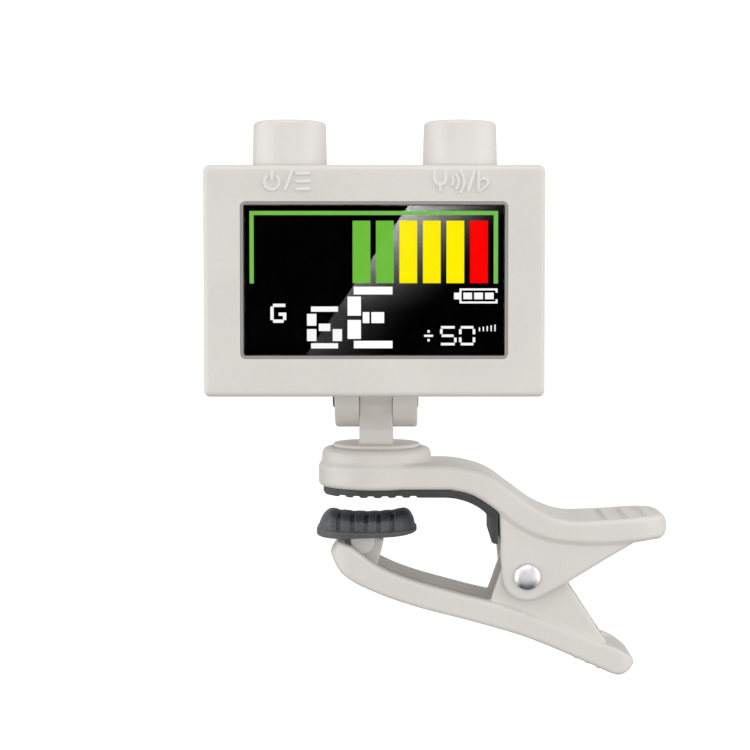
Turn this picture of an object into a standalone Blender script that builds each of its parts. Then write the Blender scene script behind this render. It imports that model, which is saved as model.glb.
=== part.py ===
"""A clip-on tuner: a display head on a tilting, swivelling stem, held by a sprung clip.

Lengths in this file are millimetres and are turned into metres where the meshes are made.
The origin is the middle of the upper liner's gripping face, under the swivel axis.
+X runs from the jaws to the handles, -Y is the side the display faces, and +Z is up.
"""

import math

import bmesh
import bpy
from mathutils import Matrix, Vector

MM = 0.001

# Head
HEAD_WIDTH = 48.0
HEAD_BOTTOM = 15.4
HEAD_TOP = 48.0
HEAD_FRONT = -18.0
HEAD_BACK = -4.0
HEAD_EDGE = 0.7
WALL = 1.4
FRONT_WALL = 1.2
COVER_THICKNESS = 1.2
SEAM = 0.3
HEAD_MIDDLE = (HEAD_BOTTOM + HEAD_TOP) / 2

# Screen opening and what sits in it
SCREEN_MIDDLE = 31.8
WINDOW_HALF = (18.8, 11.05)
BEZEL_WIDTH = 0.6
FIT = 0.15

# Buttons on the top of the head
BUTTON_X = 12.2
BUTTON_Y = -11.5
BUTTON_RADIUS = 5.33
BUTTON_TOP = 54.5
BUTTON_FOOT = 45.4
BUTTON_CLEARANCE = 0.3
PLUNGER_Y = -9.6
PLUNGER_FOOT = 44.2

# Hinge between head and stem
TILT_Z = 15.0
EAR_RADIUS = 5.0
EAR_INSIDE = 2.75
EAR_OUTSIDE = 6.15
BARREL_RADIUS = 3.7
STEM_HALF_WIDTH = 2.5
STEM_HALF_DEPTH = 4.9
NECK_SHOULDER = 9.6
NECK_CREST = (3.4, 13.1)

# Swivel between stem and clip
DISC_RADIUS = 6.54
DISC_BOTTOM = 6.85
DISC_TOP = 7.44
TURRET_TOP = 6.6
JOURNAL_RADIUS = 2.6
JOURNAL_FOOT = 2.85
LEDGE = 3.0

# Clip
JAW_HALF_WIDTH = 7.8
JAW_NOSE_RADIUS = 8.7
JAW_UNDERSIDE = 1.1
HANDLE_END = 43.5
CHEEK_HALF_WIDTH = 7.3
CHEEK_INSIDE = 6.0
WEB = 1.5
LINER_HALF_WIDTH = 7.4
LINER_GAP = 0.1
PIVOT = (22.3, -11.8)
RIVET_RADIUS = 1.1
RIVET_HOLE = 1.22
ARM_HALF_WIDTH = 6.3
ARM_CHEEK_OUTSIDE = 5.7
ARM_CHEEK_INSIDE = 4.5
ARM_CHANNEL_DEPTH = 1.5

# Rocking pad
PAD_PIN = (-2.05, -7.2)
PAD_MIDDLE = -1.45
PAD_HALF_LENGTH = 7.5
PAD_HALF_WIDTH = 6.9
LUG_RADIUS = 1.8

PLANES = {
    "XY": Matrix.Identity(4),
    "XZ": Matrix.Rotation(math.radians(90), 4, "X"),
    "YZ": Matrix(((0, 0, 1, 0), (1, 0, 0, 0), (0, 1, 0, 0), (0, 0, 0, 1))),
}
NORMALS = {"XY": (0, 0, 1), "XZ": (0, 1, 0), "YZ": (1, 0, 0)}


def clear_scene():
    for obj in list(bpy.data.objects):
        bpy.data.objects.remove(obj, do_unlink=True)


def new_collection(name):
    group = bpy.data.collections.new(name)
    bpy.context.scene.collection.children.link(group)
    return group


clear_scene()
PARTS = new_collection("clip_on_tuner")
CUTTERS = new_collection("cutters")


def new_material(name, colour, roughness, metallic=0.0, alpha=1.0):
    material = bpy.data.materials.new(name)
    material.use_nodes = True
    shader = material.node_tree.nodes["Principled BSDF"]
    shader.inputs["Base Color"].default_value = (*colour, 1.0)
    shader.inputs["Roughness"].default_value = roughness
    shader.inputs["Metallic"].default_value = metallic
    shader.inputs["Alpha"].default_value = alpha
    return material


# Shapes ---------------------------------------------------------------------


def new_object(name, mesh, matrix):
    obj = bpy.data.objects.new(name, mesh)
    PARTS.objects.link(obj)
    obj.matrix_world = matrix
    return obj


def block(name, low, high):
    """A box between two corners."""
    shape = bmesh.new()
    bmesh.ops.create_cube(shape, size=1.0)
    size = Vector(high) - Vector(low)
    bmesh.ops.scale(shape, vec=size * MM, verts=shape.verts)
    mesh = bpy.data.meshes.new(name)
    shape.to_mesh(mesh)
    shape.free()
    middle = (Vector(high) + Vector(low)) / 2
    return new_object(name, mesh, Matrix.Translation(middle * MM))


def rod(name, start, end, radius, end_radius=None, sides=32):
    """A round bar, or a cone where end_radius differs."""
    start = Vector(start)
    run = Vector(end) - start
    shape = bmesh.new()
    bmesh.ops.create_cone(
        shape,
        cap_ends=True,
        segments=sides,
        radius1=radius * MM,
        radius2=(radius if end_radius is None else end_radius) * MM,
        depth=run.length * MM,
    )
    mesh = bpy.data.meshes.new(name)
    shape.to_mesh(mesh)
    shape.free()
    mesh.shade_smooth()
    mesh.set_sharp_from_angle(angle=math.radians(40))
    turn = run.to_track_quat("Z", "Y").to_matrix().to_4x4()
    return new_object(name, mesh, Matrix.Translation((start + run / 2) * MM) @ turn)


def slab(name, outline, low, high, plane, holes=()):
    """A flat outline given thickness from low to high along the plane's normal."""
    curve = bpy.data.curves.new(name, "CURVE")
    curve.dimensions = "2D"
    curve.fill_mode = "BOTH"
    curve.extrude = (high - low) / 2 * MM
    for loop in (outline, *holes):
        spline = curve.splines.new("POLY")
        spline.points.add(len(loop) - 1)
        for point, (across, up) in zip(spline.points, loop):
            point.co = (across * MM, up * MM, 0.0, 1.0)
        spline.use_cyclic_u = True
    flat = bpy.data.objects.new(name, curve)
    PARTS.objects.link(flat)
    offset = Vector(NORMALS[plane]) * (low + high) / 2 * MM
    flat.matrix_world = Matrix.Translation(offset) @ PLANES[plane]
    return made_mesh(flat)


def made_mesh(flat):
    """The mesh of a curve object, with its loose caps welded on."""
    graph = bpy.context.evaluated_depsgraph_get()
    mesh = bpy.data.meshes.new_from_object(flat.evaluated_get(graph))
    shape = bmesh.new()
    shape.from_mesh(mesh)
    bmesh.ops.remove_doubles(shape, verts=shape.verts, dist=1e-6)
    shape.to_mesh(mesh)
    shape.free()
    name = flat.name
    matrix = flat.matrix_world.copy()
    bpy.data.objects.remove(flat, do_unlink=True)
    return new_object(name, mesh, matrix)


def turned(name, profile, matrix, steps=48):
    """A profile of (radius, height) points, top to bottom, turned about the local Z axis."""
    mesh = bpy.data.meshes.new(name)
    points = [(radius * MM, 0.0, height * MM) for radius, height in profile]
    edges = [(i, i + 1) for i in range(len(points) - 1)]
    mesh.from_pydata(points, edges, [])
    obj = new_object(name, mesh, matrix)
    screw = obj.modifiers.new("turn", "SCREW")
    screw.steps = steps
    screw.render_steps = steps
    screw.use_merge_vertices = True
    screw.merge_threshold = 0.00001
    screw.use_smooth_shade = True
    return obj


def combine(target, tool, operation="DIFFERENCE"):
    """Cut, join or intersect the target with a tool, which becomes a hidden cutter."""
    modifier = target.modifiers.new(tool.name, "BOOLEAN")
    modifier.operation = operation
    modifier.object = tool
    tool.hide_render = True
    tool.display_type = "WIRE"
    PARTS.objects.unlink(tool)
    CUTTERS.objects.link(tool)


def cut(target, *tools):
    for tool in tools:
        combine(target, tool)


def join(target, *tools):
    for tool in tools:
        combine(target, tool, "UNION")


def bevel(obj, width, segments=3):
    modifier = obj.modifiers.new("edges", "BEVEL")
    modifier.width = width * MM
    modifier.segments = segments
    modifier.limit_method = "ANGLE"
    modifier.angle_limit = math.radians(40)


# Outlines -------------------------------------------------------------------


def arc(centre, radius, start, end, steps):
    """Points along an arc, angles in degrees."""
    points = []
    for step in range(steps + 1):
        angle = math.radians(start + (end - start) * step / steps)
        points.append((centre[0] + radius * math.cos(angle), centre[1] + radius * math.sin(angle)))
    return points


def circle(centre, radius, sides=32):
    return arc(centre, radius, 0, 360 - 360 / sides, sides - 1)


def rounded_rectangle(low, high, radius, steps=4):
    corners = (
        ((high[0] - radius, high[1] - radius), 0),
        ((low[0] + radius, high[1] - radius), 90),
        ((low[0] + radius, low[1] + radius), 180),
        ((high[0] - radius, low[1] + radius), 270),
    )
    points = []
    for centre, start in corners:
        points += arc(centre, radius, start, start + 90, steps)
    return points


def smooth(points, steps=3):
    """A Catmull-Rom curve through the points."""
    padded = [points[0], *points, points[-1]]
    result = []
    for before, start, end, after in zip(padded, padded[1:], padded[2:], padded[3:]):
        for step in range(steps):
            t = step / steps
            place = []
            for a, b, c, d in zip(before, start, end, after):
                bend = (2 * a - 5 * b + 4 * c - d) * t * t + (3 * b - a - 3 * c + d) * t**3
                place.append(b + ((c - a) * t + bend) / 2)
            result.append(tuple(place))
    result.append(points[-1])
    return result


def raised(points, rise):
    return [(across, up + rise) for across, up in points]


# Top and underside of the upper jaw, from over the swivel to the handle's end
UPPER_TOP = [
    (7.0, 4.65),
    (12.0, 4.5),
    (16.5, 3.25),
    (20.0, 0.85),
    (23.8, -1.85),
    (28.0, -3.4),
    (33.0, -3.4),
    (41.3, -2.85),
]
UPPER_UNDER = [
    (11.0, JAW_UNDERSIDE),
    (14.0, 0.3),
    (17.0, -1.5),
    (20.5, -4.25),
    (24.5, -6.15),
    (29.0, -6.95),
    (34.0, -7.05),
    (40.8, -6.5),
]
# Underside of the liner, from its flat part to its leg
LINER_UNDER = [(10.4, 0.0), (12.8, -0.6), (15.6, -2.1), (16.9, -4.2)]
LINER_LEG = (17.0, 17.95, -6.6)

# Top and underside of the lower arm, from under the pad to its handle's end
LOWER_TOP = [
    (-5.6, -6.8),
    (-3.5, -7.7),
    (0.1, -10.3),
    (5.0, -12.4),
    (12.4, -14.5),
    (19.3, -16.3),
    (27.1, -19.4),
    (35.6, -22.6),
    (37.8, -23.9),
]
LOWER_UNDER = [
    (-6.9, -8.7),
    (-5.0, -11.75),
    (-0.3, -14.3),
    (6.1, -16.55),
    (15.6, -19.05),
    (23.2, -21.4),
    (31.7, -25.0),
    (35.0, -26.45),
    (36.5, -26.6),
    (37.8, -26.0),
]


# Head -----------------------------------------------------------------------


def head_block(name):
    half = HEAD_WIDTH / 2
    shell = block(name, (-half, HEAD_FRONT, HEAD_BOTTOM), (half, HEAD_BACK, HEAD_TOP))
    bevel(shell, HEAD_EDGE)
    return shell


def screw_places():
    return [(side * 21.2, HEAD_MIDDLE + level * 13.7) for side in (-1, 1) for level in (-1, 1)]


def front_case():
    half = HEAD_WIDTH / 2
    inner = HEAD_FRONT + FRONT_WALL
    rim = HEAD_BACK - COVER_THICKNESS - SEAM
    case = head_block("front_case")
    cut(case, block("behind_seam", (-30, rim, 0), (30, 5, 60)))
    cavity_low = (WALL - half, inner, HEAD_BOTTOM + WALL)
    cavity_high = (half - WALL, 0, HEAD_TOP - WALL)
    cut(case, block("case_hollow", cavity_low, cavity_high))
    across, up = WINDOW_HALF
    window = rounded_rectangle((-across, SCREEN_MIDDLE - up), (across, SCREEN_MIDDLE + up), 0.8)
    cut(case, slab("window", window, -20, -16, "XZ"))
    for side in (-1, 1):
        x = side * BUTTON_X
        hole = BUTTON_RADIUS + BUTTON_CLEARANCE
        cut(case, rod("button_hole", (x, BUTTON_Y, 44), (x, BUTTON_Y, 50), hole, sides=48))
    for x, z in screw_places():
        join(case, rod("boss", (x, inner - 0.5, z), (x, rim - 0.2, z), 1.6, sides=16))
        cut(case, rod("pilot", (x, -12, z), (x, 0, z), 0.85, sides=12))
    return case


def rear_cover():
    inner = HEAD_BACK - COVER_THICKNESS
    cover = head_block("rear_cover")
    cut(cover, block("before_seam", (-30, -30, 0), (30, inner, 60)))
    ear_outline = [
        (inner + 0.3, TILT_Z + EAR_RADIUS),
        *arc((0, TILT_Z), EAR_RADIUS, 90, -155, 22),
        (inner + 0.3, TILT_Z),
    ]
    for side in (-1, 1):
        near, far = sorted((side * EAR_INSIDE, side * EAR_OUTSIDE))
        ear = slab("ear", ear_outline, near, far, "YZ")
        bevel(ear, 0.4, 2)
        join(cover, ear)
    cut(cover, rod("hinge_hole", (-9, 0, TILT_Z), (9, 0, TILT_Z), 1.7, sides=24))
    cut(cover, rod("screw_seat", (-9, 0, TILT_Z), (-5.4, 0, TILT_Z), 2.7, sides=24))
    cut(cover, slab("nut_seat", circle((0, TILT_Z), 2.75, 6), 4.6, 9, "YZ"))
    cut(cover, block("door_way", (-11.95, -6, 22), (11.95, -3, 50)))
    cut(cover, block("door_groove", (-12.95, -6, 22), (12.95, -4.6, 50)))
    for x, z in screw_places():
        cut(cover, rod("screw_way", (x, -6, z), (x, -3, z), 0.9, sides=16))
        cut(cover, rod("countersink", (x, -4.95, z), (x, -3.9, z), 0.85, 1.75, sides=16))
    return cover


def case_screws():
    screws = []
    for number, (x, z) in enumerate(screw_places(), 1):
        screw = rod(f"case_screw_{number}", (x, -11, z), (x, -4.6, z), 0.6, sides=16)
        join(screw, rod("screw_head", (x, -4.85, z), (x, -4.1, z), 0.6, 1.3, sides=16))
        slot = 0.25
        cut(screw, block("cross_slot", (x - 0.8, -4.4, z - slot / 2), (x + 0.8, -3, z + slot / 2)))
        cut(screw, block("cross_slot", (x - slot / 2, -4.4, z - 0.8), (x + slot / 2, -3, z + 0.8)))
        screws.append(screw)
    return screws


def framed(name, outer, inner, low, high):
    """A rectangular ring round the screen's middle."""
    loops = []
    for across, up, radius in (outer, inner):
        corner_low = (-across, SCREEN_MIDDLE - up)
        corner_high = (across, SCREEN_MIDDLE + up)
        loops.append(rounded_rectangle(corner_low, corner_high, radius))
    return slab(name, loops[0], low, high, "XZ", holes=loops[1:])


def screen_pieces():
    across, up = WINDOW_HALF
    frame_out = (across - FIT, up - FIT, 0.7)
    frame_in = (across - BEZEL_WIDTH, up - BEZEL_WIDTH, 0.3)
    lens_half = (across - BEZEL_WIDTH - FIT, up - BEZEL_WIDTH - FIT)
    bezel = framed("screen_bezel", frame_out, frame_in, -17.9, -16.9)
    lens = block(
        "screen_lens",
        (-lens_half[0], -17.7, SCREEN_MIDDLE - lens_half[1]),
        (lens_half[0], -16.95, SCREEN_MIDDLE + lens_half[1]),
    )
    panel = block("display_panel", (-18.5, -16.5, 21.0), (18.5, -15.1, 42.6))
    holder = framed("display_holder", (19.2, 11.8, 0.5), (18.7, 11.1, 0.3), -16.5, -12.9)
    backlight = block("backlight_plate", (-18.4, -14.9, 23.0), (18.4, -13.7, 42.5))
    connector = block("display_connector", (-15, -14.9, 21.3), (15, -12.75, 22.6))
    return bezel, lens, panel, holder, backlight, connector


def electronics():
    board = block("circuit_board", (-18.9, -12.6, 18.3), (18.9, -11.6, 44.0))
    chip = block("main_chip", (-16.8, -11.45, 20.0), (-10.2, -10.3, 26.6))
    bevel(chip, 0.2, 1)
    switches = []
    for side, name in ((-1, "power_switch"), (1, "pitch_switch")):
        x = side * BUTTON_X
        switch = block(name, (x - 3, -11.45, 39.6), (x + 3, -7.7, 42.8))
        join(switch, rod("actuator", (x, PLUNGER_Y, 42.5), (x, PLUNGER_Y, 43.6), 0.8, sides=16))
        switches.append(switch)
    x = -17.2
    sensor = rod("piezo_sensor", (x, -6.1, HEAD_MIDDLE), (x, -5.6, HEAD_MIDDLE), 4.2)
    return board, chip, switches, sensor


CELL_MIDDLE = (0.0, 33.5)
CELL_RADIUS = 10.0


def battery_pieces():
    x, z = CELL_MIDDLE
    cell = rod("coin_cell", (x, -9.7, z), (x, -6.6, z), CELL_RADIUS, sides=64)
    join(cell, rod("cell_step", (x, -10.0, z), (x, -9.5, z), 8.8, sides=48))
    holder_out, holder_in, arms_top = 12.0, 10.95, 38.0
    outline = [
        *arc(CELL_MIDDLE, holder_out, 180, 360, 24),
        (x + holder_out, arms_top),
        (x + holder_in, arms_top),
        *arc(CELL_MIDDLE, holder_in, 360, 180, 24),
        (x - holder_in, arms_top),
        (x - holder_out, arms_top),
    ]
    holder = slab("battery_holder", outline, -11.3, -7.0, "XZ")
    strip = [
        *arc(CELL_MIDDLE, 10.55, 235, 305, 12),
        *arc(CELL_MIDDLE, 10.25, 305, 235, 12),
    ]
    positive = slab("positive_contact", strip, -11.4, -7.2, "XZ")
    leaf = [
        (-11.4, 27.0),
        (-11.1, 27.0),
        (-11.1, 29.5),
        (-10.15, 33.5),
        (-10.15, 34.5),
        (-11.1, 38.5),
        (-11.4, 38.5),
        (-10.45, 34.3),
        (-10.45, 33.7),
        (-11.4, 29.7),
    ]
    negative = slab("negative_contact", leaf, -2.0, 2.0, "YZ")
    return cell, holder, positive, negative


def battery_door():
    door = block("battery_door", (-11.7, -4.9, 22.3), (11.7, -4.05, HEAD_TOP - 0.5))
    join(door, block("door_tongue", (-12.7, -5.15, 22.3), (12.7, -4.75, HEAD_TOP - 0.5)))
    for step in range(4):
        z = 24.5 + 1.4 * step
        join(door, rod("door_ridge", (-4, -4.1, z), (4, -4.1, z), 0.35, sides=8))
    return door


def button(name, side):
    x = side * BUTTON_X
    profile = [
        (0, BUTTON_TOP),
        *arc((BUTTON_RADIUS - 0.75, BUTTON_TOP - 0.6), 0.6, 90, 0, 4),
        (BUTTON_RADIUS, HEAD_TOP),
        (BUTTON_RADIUS, BUTTON_FOOT),
        (0, BUTTON_FOOT),
    ]
    cap = turned(name, profile, Matrix.Translation(Vector((x, BUTTON_Y, 0)) * MM))
    tab_low = (x - 6.4, BUTTON_Y - 2, BUTTON_FOOT)
    tab_high = (x + 6.4, BUTTON_Y + 2, BUTTON_FOOT + 0.9)
    join(cap, block("button_tab", tab_low, tab_high))
    hollow_top = BUTTON_TOP - 1.3
    cut(cap, rod("button_hollow", (x, BUTTON_Y, 40), (x, BUTTON_Y, hollow_top), 4.3))
    foot = (x, PLUNGER_Y, PLUNGER_FOOT)
    join(cap, rod("plunger", foot, (x, PLUNGER_Y, hollow_top + 0.4), 1.0, sides=16))
    return cap


# Stem and its two joints ----------------------------------------------------


def stem():
    half = STEM_HALF_WIDTH
    post = rod("stem", (-half, 0, TILT_Z), (half, 0, TILT_Z), BARREL_RADIUS)
    depth = STEM_HALF_DEPTH
    # The neck slopes back under the barrel so that the head can tilt forward
    crest, height = NECK_CREST
    side = [
        (-depth, DISC_TOP - 0.3),
        (depth, DISC_TOP - 0.3),
        (depth, NECK_SHOULDER),
        (crest, height),
        (-crest, height),
        (-depth, NECK_SHOULDER),
    ]
    join(post, slab("neck", side, -half, half, "YZ"))
    profile = [
        (0, DISC_TOP),
        (DISC_RADIUS - 0.2, DISC_TOP),
        (DISC_RADIUS, DISC_TOP - 0.2),
        (DISC_RADIUS, DISC_BOTTOM),
        (JOURNAL_RADIUS, DISC_BOTTOM),
        (JOURNAL_RADIUS, JOURNAL_FOOT),
        (0, JOURNAL_FOOT),
    ]
    join(post, turned("swivel_disc", profile, Matrix.Identity(4)))
    cut(post, rod("barrel_bore", (-5, 0, TILT_Z), (5, 0, TILT_Z), 1.75, sides=24))
    cut(post, rod("swivel_pilot", (0, 0, 0), (0, 0, 6.5), 0.85, sides=16))
    for side in (-1, 1):
        seat = (side * (half - 0.45), 0, TILT_Z)
        cut(post, rod("washer_seat", seat, (side * 4, 0, TILT_Z), 3.2))
    return post


def ring(name, radius, hole, low, high, plane, centre=(0, 0), sides=32):
    return slab(name, circle(centre, radius, sides), low, high, plane, [circle(centre, hole, 24)])


def hinge_pieces():
    screw = rod("hinge_screw", (-5.9, 0, TILT_Z), (5.9, 0, TILT_Z), 1.45, sides=24)
    join(screw, rod("hinge_head", (-6.6, 0, TILT_Z), (-5.55, 0, TILT_Z), 2.4, sides=32))
    cut(screw, block("hinge_slot", (-8, -0.3, TILT_Z - 1.8), (-6.2, 0.3, TILT_Z + 1.8)))
    hexagon = circle((0, TILT_Z), 2.55, 6)
    nut = slab("hinge_nut", hexagon, 4.75, 6.3, "YZ", [circle((0, TILT_Z), 1.6, 24)])
    washers = []
    for side, name in ((-1, "left_friction_washer"), (1, "right_friction_washer")):
        low, high = sorted((side * 2.2, side * 2.6))
        washers.append(ring(name, 3.0, 1.65, low, high, "YZ", (0, TILT_Z)))
    return screw, nut, washers


def swivel_pieces():
    washer = ring("swivel_washer", 4.1, 0.95, 2.2, 2.7, "XY")
    screw = rod("swivel_screw", (0, 0, 1.9), (0, 0, 6.1), 0.65, sides=16)
    join(screw, rod("swivel_head", (0, 0, 1.35), (0, 0, 2.05), 1.9, sides=24))
    return washer, screw


# Clip -----------------------------------------------------------------------


def upper_outline():
    return [
        (-10.0, UPPER_TOP[0][1]),
        *smooth(UPPER_TOP),
        *arc((HANDLE_END - 1.85, -4.7), 1.85, 90, -80, 6),
        *reversed(smooth(UPPER_UNDER)),
        (-10.0, JAW_UNDERSIDE),
    ]


def upper_plan():
    """Round nose under the swivel, straight sides, rounded handle end."""
    corner = 5.0
    width = JAW_HALF_WIDTH
    nose = JAW_NOSE_RADIUS
    blend = math.degrees(math.asin(width / nose))
    return [
        *arc((0, 0), nose, blend, 360 - blend, 40),
        *arc((HANDLE_END - corner, corner - width), corner, -90, 0, 6),
        *arc((HANDLE_END - corner, width - corner), corner, 0, 90, 6),
    ]


def cheek_outline():
    return [
        (18.1, -1.0),
        (18.4, -9.1),
        *arc(PIVOT, 3.65, 184, 300, 10),
        (28.05, -12.85),
        (33.9, -9.25),
        (37.9, -6.9),
        (30.0, -5.0),
        (24.0, -3.5),
    ]


def upper_jaw():
    jaw = slab("upper_jaw", upper_outline(), -JAW_HALF_WIDTH - 2, JAW_HALF_WIDTH + 2, "XZ")
    combine(jaw, slab("jaw_plan", upper_plan(), -12, 8, "XY"), "INTERSECT")
    turret = [
        (0, TURRET_TOP),
        (7.6, TURRET_TOP),
        (7.9, 6.4),
        (8.2, 5.6),
        (8.55, 4.7),
        (JAW_NOSE_RADIUS - 0.01, 4.3),
        (JAW_NOSE_RADIUS - 0.01, 3.0),
        (0, 3.0),
    ]
    join(jaw, turned("turret", turret, Matrix.Identity(4)))
    join(jaw, slab("cheeks", cheek_outline(), -CHEEK_HALF_WIDTH, CHEEK_HALF_WIDTH, "XZ"))
    web_under = raised(UPPER_TOP[3:-1], -WEB)
    hollow = [
        (19.6, web_under[0][1]),
        *smooth(web_under),
        (HANDLE_END - 2.0, -4.7),
        (HANDLE_END - 2.0, -20.0),
        (10.0, -20.0),
        (10.0, -6.8),
        (19.6, -6.8),
    ]
    cut(jaw, slab("cheek_hollow", hollow, -CHEEK_INSIDE, CHEEK_INSIDE, "XZ"))
    cut(jaw, rod("swivel_bore", (0, 0, 0), (0, 0, 9), JOURNAL_RADIUS + 0.25, sides=48))
    cut(jaw, rod("swivel_pocket", (0, 0, 0), (0, 0, LEDGE), 4.6, sides=48))
    x, z = PIVOT
    cut(jaw, rod("rivet_way", (x, -10, z), (x, 10, z), RIVET_HOLE, sides=24))
    return jaw


def upper_liner():
    top = raised(UPPER_UNDER[:2], -LINER_GAP)
    notch_depth, notch_half, notch_pitch, first_notch = 0.3, 0.48, 2.08, -4.88
    grips = [(-7.2, 0.25), (-6.6, 0.0)]
    for number in range(6):
        middle = first_notch + notch_pitch * number
        grips.append((middle - notch_half, 0.0))
        grips.append((middle - notch_half / 2, notch_depth))
        grips.append((middle + notch_half / 2, notch_depth))
        grips.append((middle + notch_half, 0.0))
    leg_front, leg_back, leg_foot = LINER_LEG
    outline = [
        (-10.0, top[0][1]),
        top[0],
        (12.6, 0.72),
        top[1],
        (16.6, -1.35),
        (leg_back, -2.3),
        (leg_back, leg_foot),
        (leg_front, leg_foot),
        *reversed(smooth(LINER_UNDER)),
        *reversed(grips),
        (-7.8, 0.7),
        (-10.0, 0.75),
    ]
    liner = slab("upper_liner", outline, -LINER_HALF_WIDTH - 1, LINER_HALF_WIDTH + 1, "XZ")
    nose = JAW_NOSE_RADIUS - 0.7
    blend = math.degrees(math.asin(LINER_HALF_WIDTH / nose))
    plan = [
        *arc((0, 0), nose, blend, 360 - blend, 40),
        (20.0, -LINER_HALF_WIDTH),
        (20.0, LINER_HALF_WIDTH),
    ]
    combine(liner, slab("liner_plan", plan, -10, 5, "XY"), "INTERSECT")
    return liner


def lower_plan():
    nose, end, width = 5.0, 3.5, ARM_HALF_WIDTH
    left, right = -7.5, 38.8
    return [
        *arc((right - end, width - end), end, 0, 90, 5),
        *arc((left + nose, width - nose), nose, 90, 180, 6),
        *arc((left + nose, nose - width), nose, 180, 270, 6),
        *arc((right - end, end - width), end, 270, 360, 5),
    ]


def lower_cheek_outline():
    return [
        (16.75, -17.0),
        (16.95, -15.6),
        (18.95, -9.9),
        (19.2, -7.1),
        (21.0, -7.1),
        (24.0, -7.6),
        (28.2, -12.7),
        (34.05, -21.65),
        (33.0, -23.2),
        (24.0, -19.5),
    ]


def lower_jaw():
    outline = [
        *smooth(LOWER_TOP),
        (38.7, -25.1),
        *reversed(smooth(LOWER_UNDER)),
    ]
    arm = slab("lower_jaw", outline, -ARM_HALF_WIDTH - 1, ARM_HALF_WIDTH + 1, "XZ")
    combine(arm, slab("arm_plan", lower_plan(), -30, 0, "XY"), "INTERSECT")
    cheeks = slab("arm_cheeks", lower_cheek_outline(), -ARM_CHEEK_OUTSIDE, ARM_CHEEK_OUTSIDE, "XZ")
    join(arm, cheeks)
    floor = raised(LOWER_TOP[1:-1], -ARM_CHANNEL_DEPTH)
    channel = [(-4.6, -8.2), *smooth(floor), (33.5, -22.9), (36.0, 0.0), (-4.6, 0.0)]
    cut(arm, slab("arm_channel", channel, -ARM_CHEEK_INSIDE, ARM_CHEEK_INSIDE, "XZ"))
    post = [
        (-4.4, -11.5),
        (-4.1, -7.6),
        *arc(PAD_PIN, 1.5, 150, 30, 8),
        (1.1, -7.2),
        (0.0, -11.7),
    ]
    join(arm, slab("pad_post", post, -1.9, 1.9, "XZ"))
    x, z = PIVOT
    cut(arm, rod("rivet_way", (x, -10, z), (x, 10, z), RIVET_HOLE + 0.03, sides=24))
    x, z = PAD_PIN
    cut(arm, rod("pin_way", (x, -10, z), (x, 10, z), 0.67, sides=16))
    return arm


def pad_carrier():
    carrier = block("pad_carrier", (-7.6, -5.0, -5.4), (4.7, 5.0, -4.5))
    x, z = PAD_PIN
    lug = [(x + LUG_RADIUS, -5.2), (x - LUG_RADIUS, -5.2), *arc(PAD_PIN, LUG_RADIUS, 180, 360, 12)]
    for side in (-1, 1):
        low, high = sorted((side * 2.2, side * 3.4))
        join(carrier, slab("lug", lug, low, high, "XZ"))
    cut(carrier, rod("lug_hole", (x, -10, z), (x, 10, z), 0.67, sides=16))
    return carrier


def grip_pad():
    """A rubber cradle: raised ends, dished top, gently bowed base."""
    half = [
        (0.0, -3.15),
        (2.2, -3.05),
        (4.0, -2.85),
        (5.7, -2.45),
        (6.7, -2.5),
        (7.3, -3.1),
        (PAD_HALF_LENGTH, -4.2),
        (PAD_HALF_LENGTH, -5.2),
        (7.2, -5.6),
        (3.8, -6.0),
        (0.0, -6.15),
    ]
    right = [(PAD_MIDDLE + across, up) for across, up in half]
    left = [(PAD_MIDDLE - across, up) for across, up in reversed(half[1:-1])]
    width = PAD_HALF_WIDTH
    pad = slab("grip_pad", right + left, -width - 1, width + 1, "XZ")
    ends = (PAD_MIDDLE - PAD_HALF_LENGTH, PAD_MIDDLE + PAD_HALF_LENGTH)
    plan = rounded_rectangle((ends[0], -width), (ends[1], width), 4.5, 6)
    combine(pad, slab("pad_plan", plan, -10, 0, "XY"), "INTERSECT")
    cut(pad, block("pad_pocket", (-7.9, -5.3, -9), (5.0, 5.3, -4.2)))
    return pad


def rivet_pieces():
    x, z = PIVOT
    turn = Matrix.Translation(Vector((x, 0, z)) * MM)
    head_radius, seat, crown = 1.9, 7.42, 8.3
    rise = crown - seat
    dome = []
    for step in range(7):
        angle = math.radians(90 * step / 6)
        dome.append((head_radius * math.sin(angle), seat + rise * math.cos(angle)))
    shank = [(RIVET_RADIUS, seat), (RIVET_RADIUS, -6.6), (0, -6.6)]
    rivet = turned("jaw_rivet", dome + shank, turn @ PLANES["XZ"], 32)
    stub = [(RIVET_RADIUS, seat), (RIVET_RADIUS, 6.9), (0, 6.9)]
    half_turn = Matrix.Rotation(math.pi, 4, "Z")
    cap = turned("rivet_cap", dome + stub, turn @ half_turn @ PLANES["XZ"], 32)
    return rivet, cap


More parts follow.
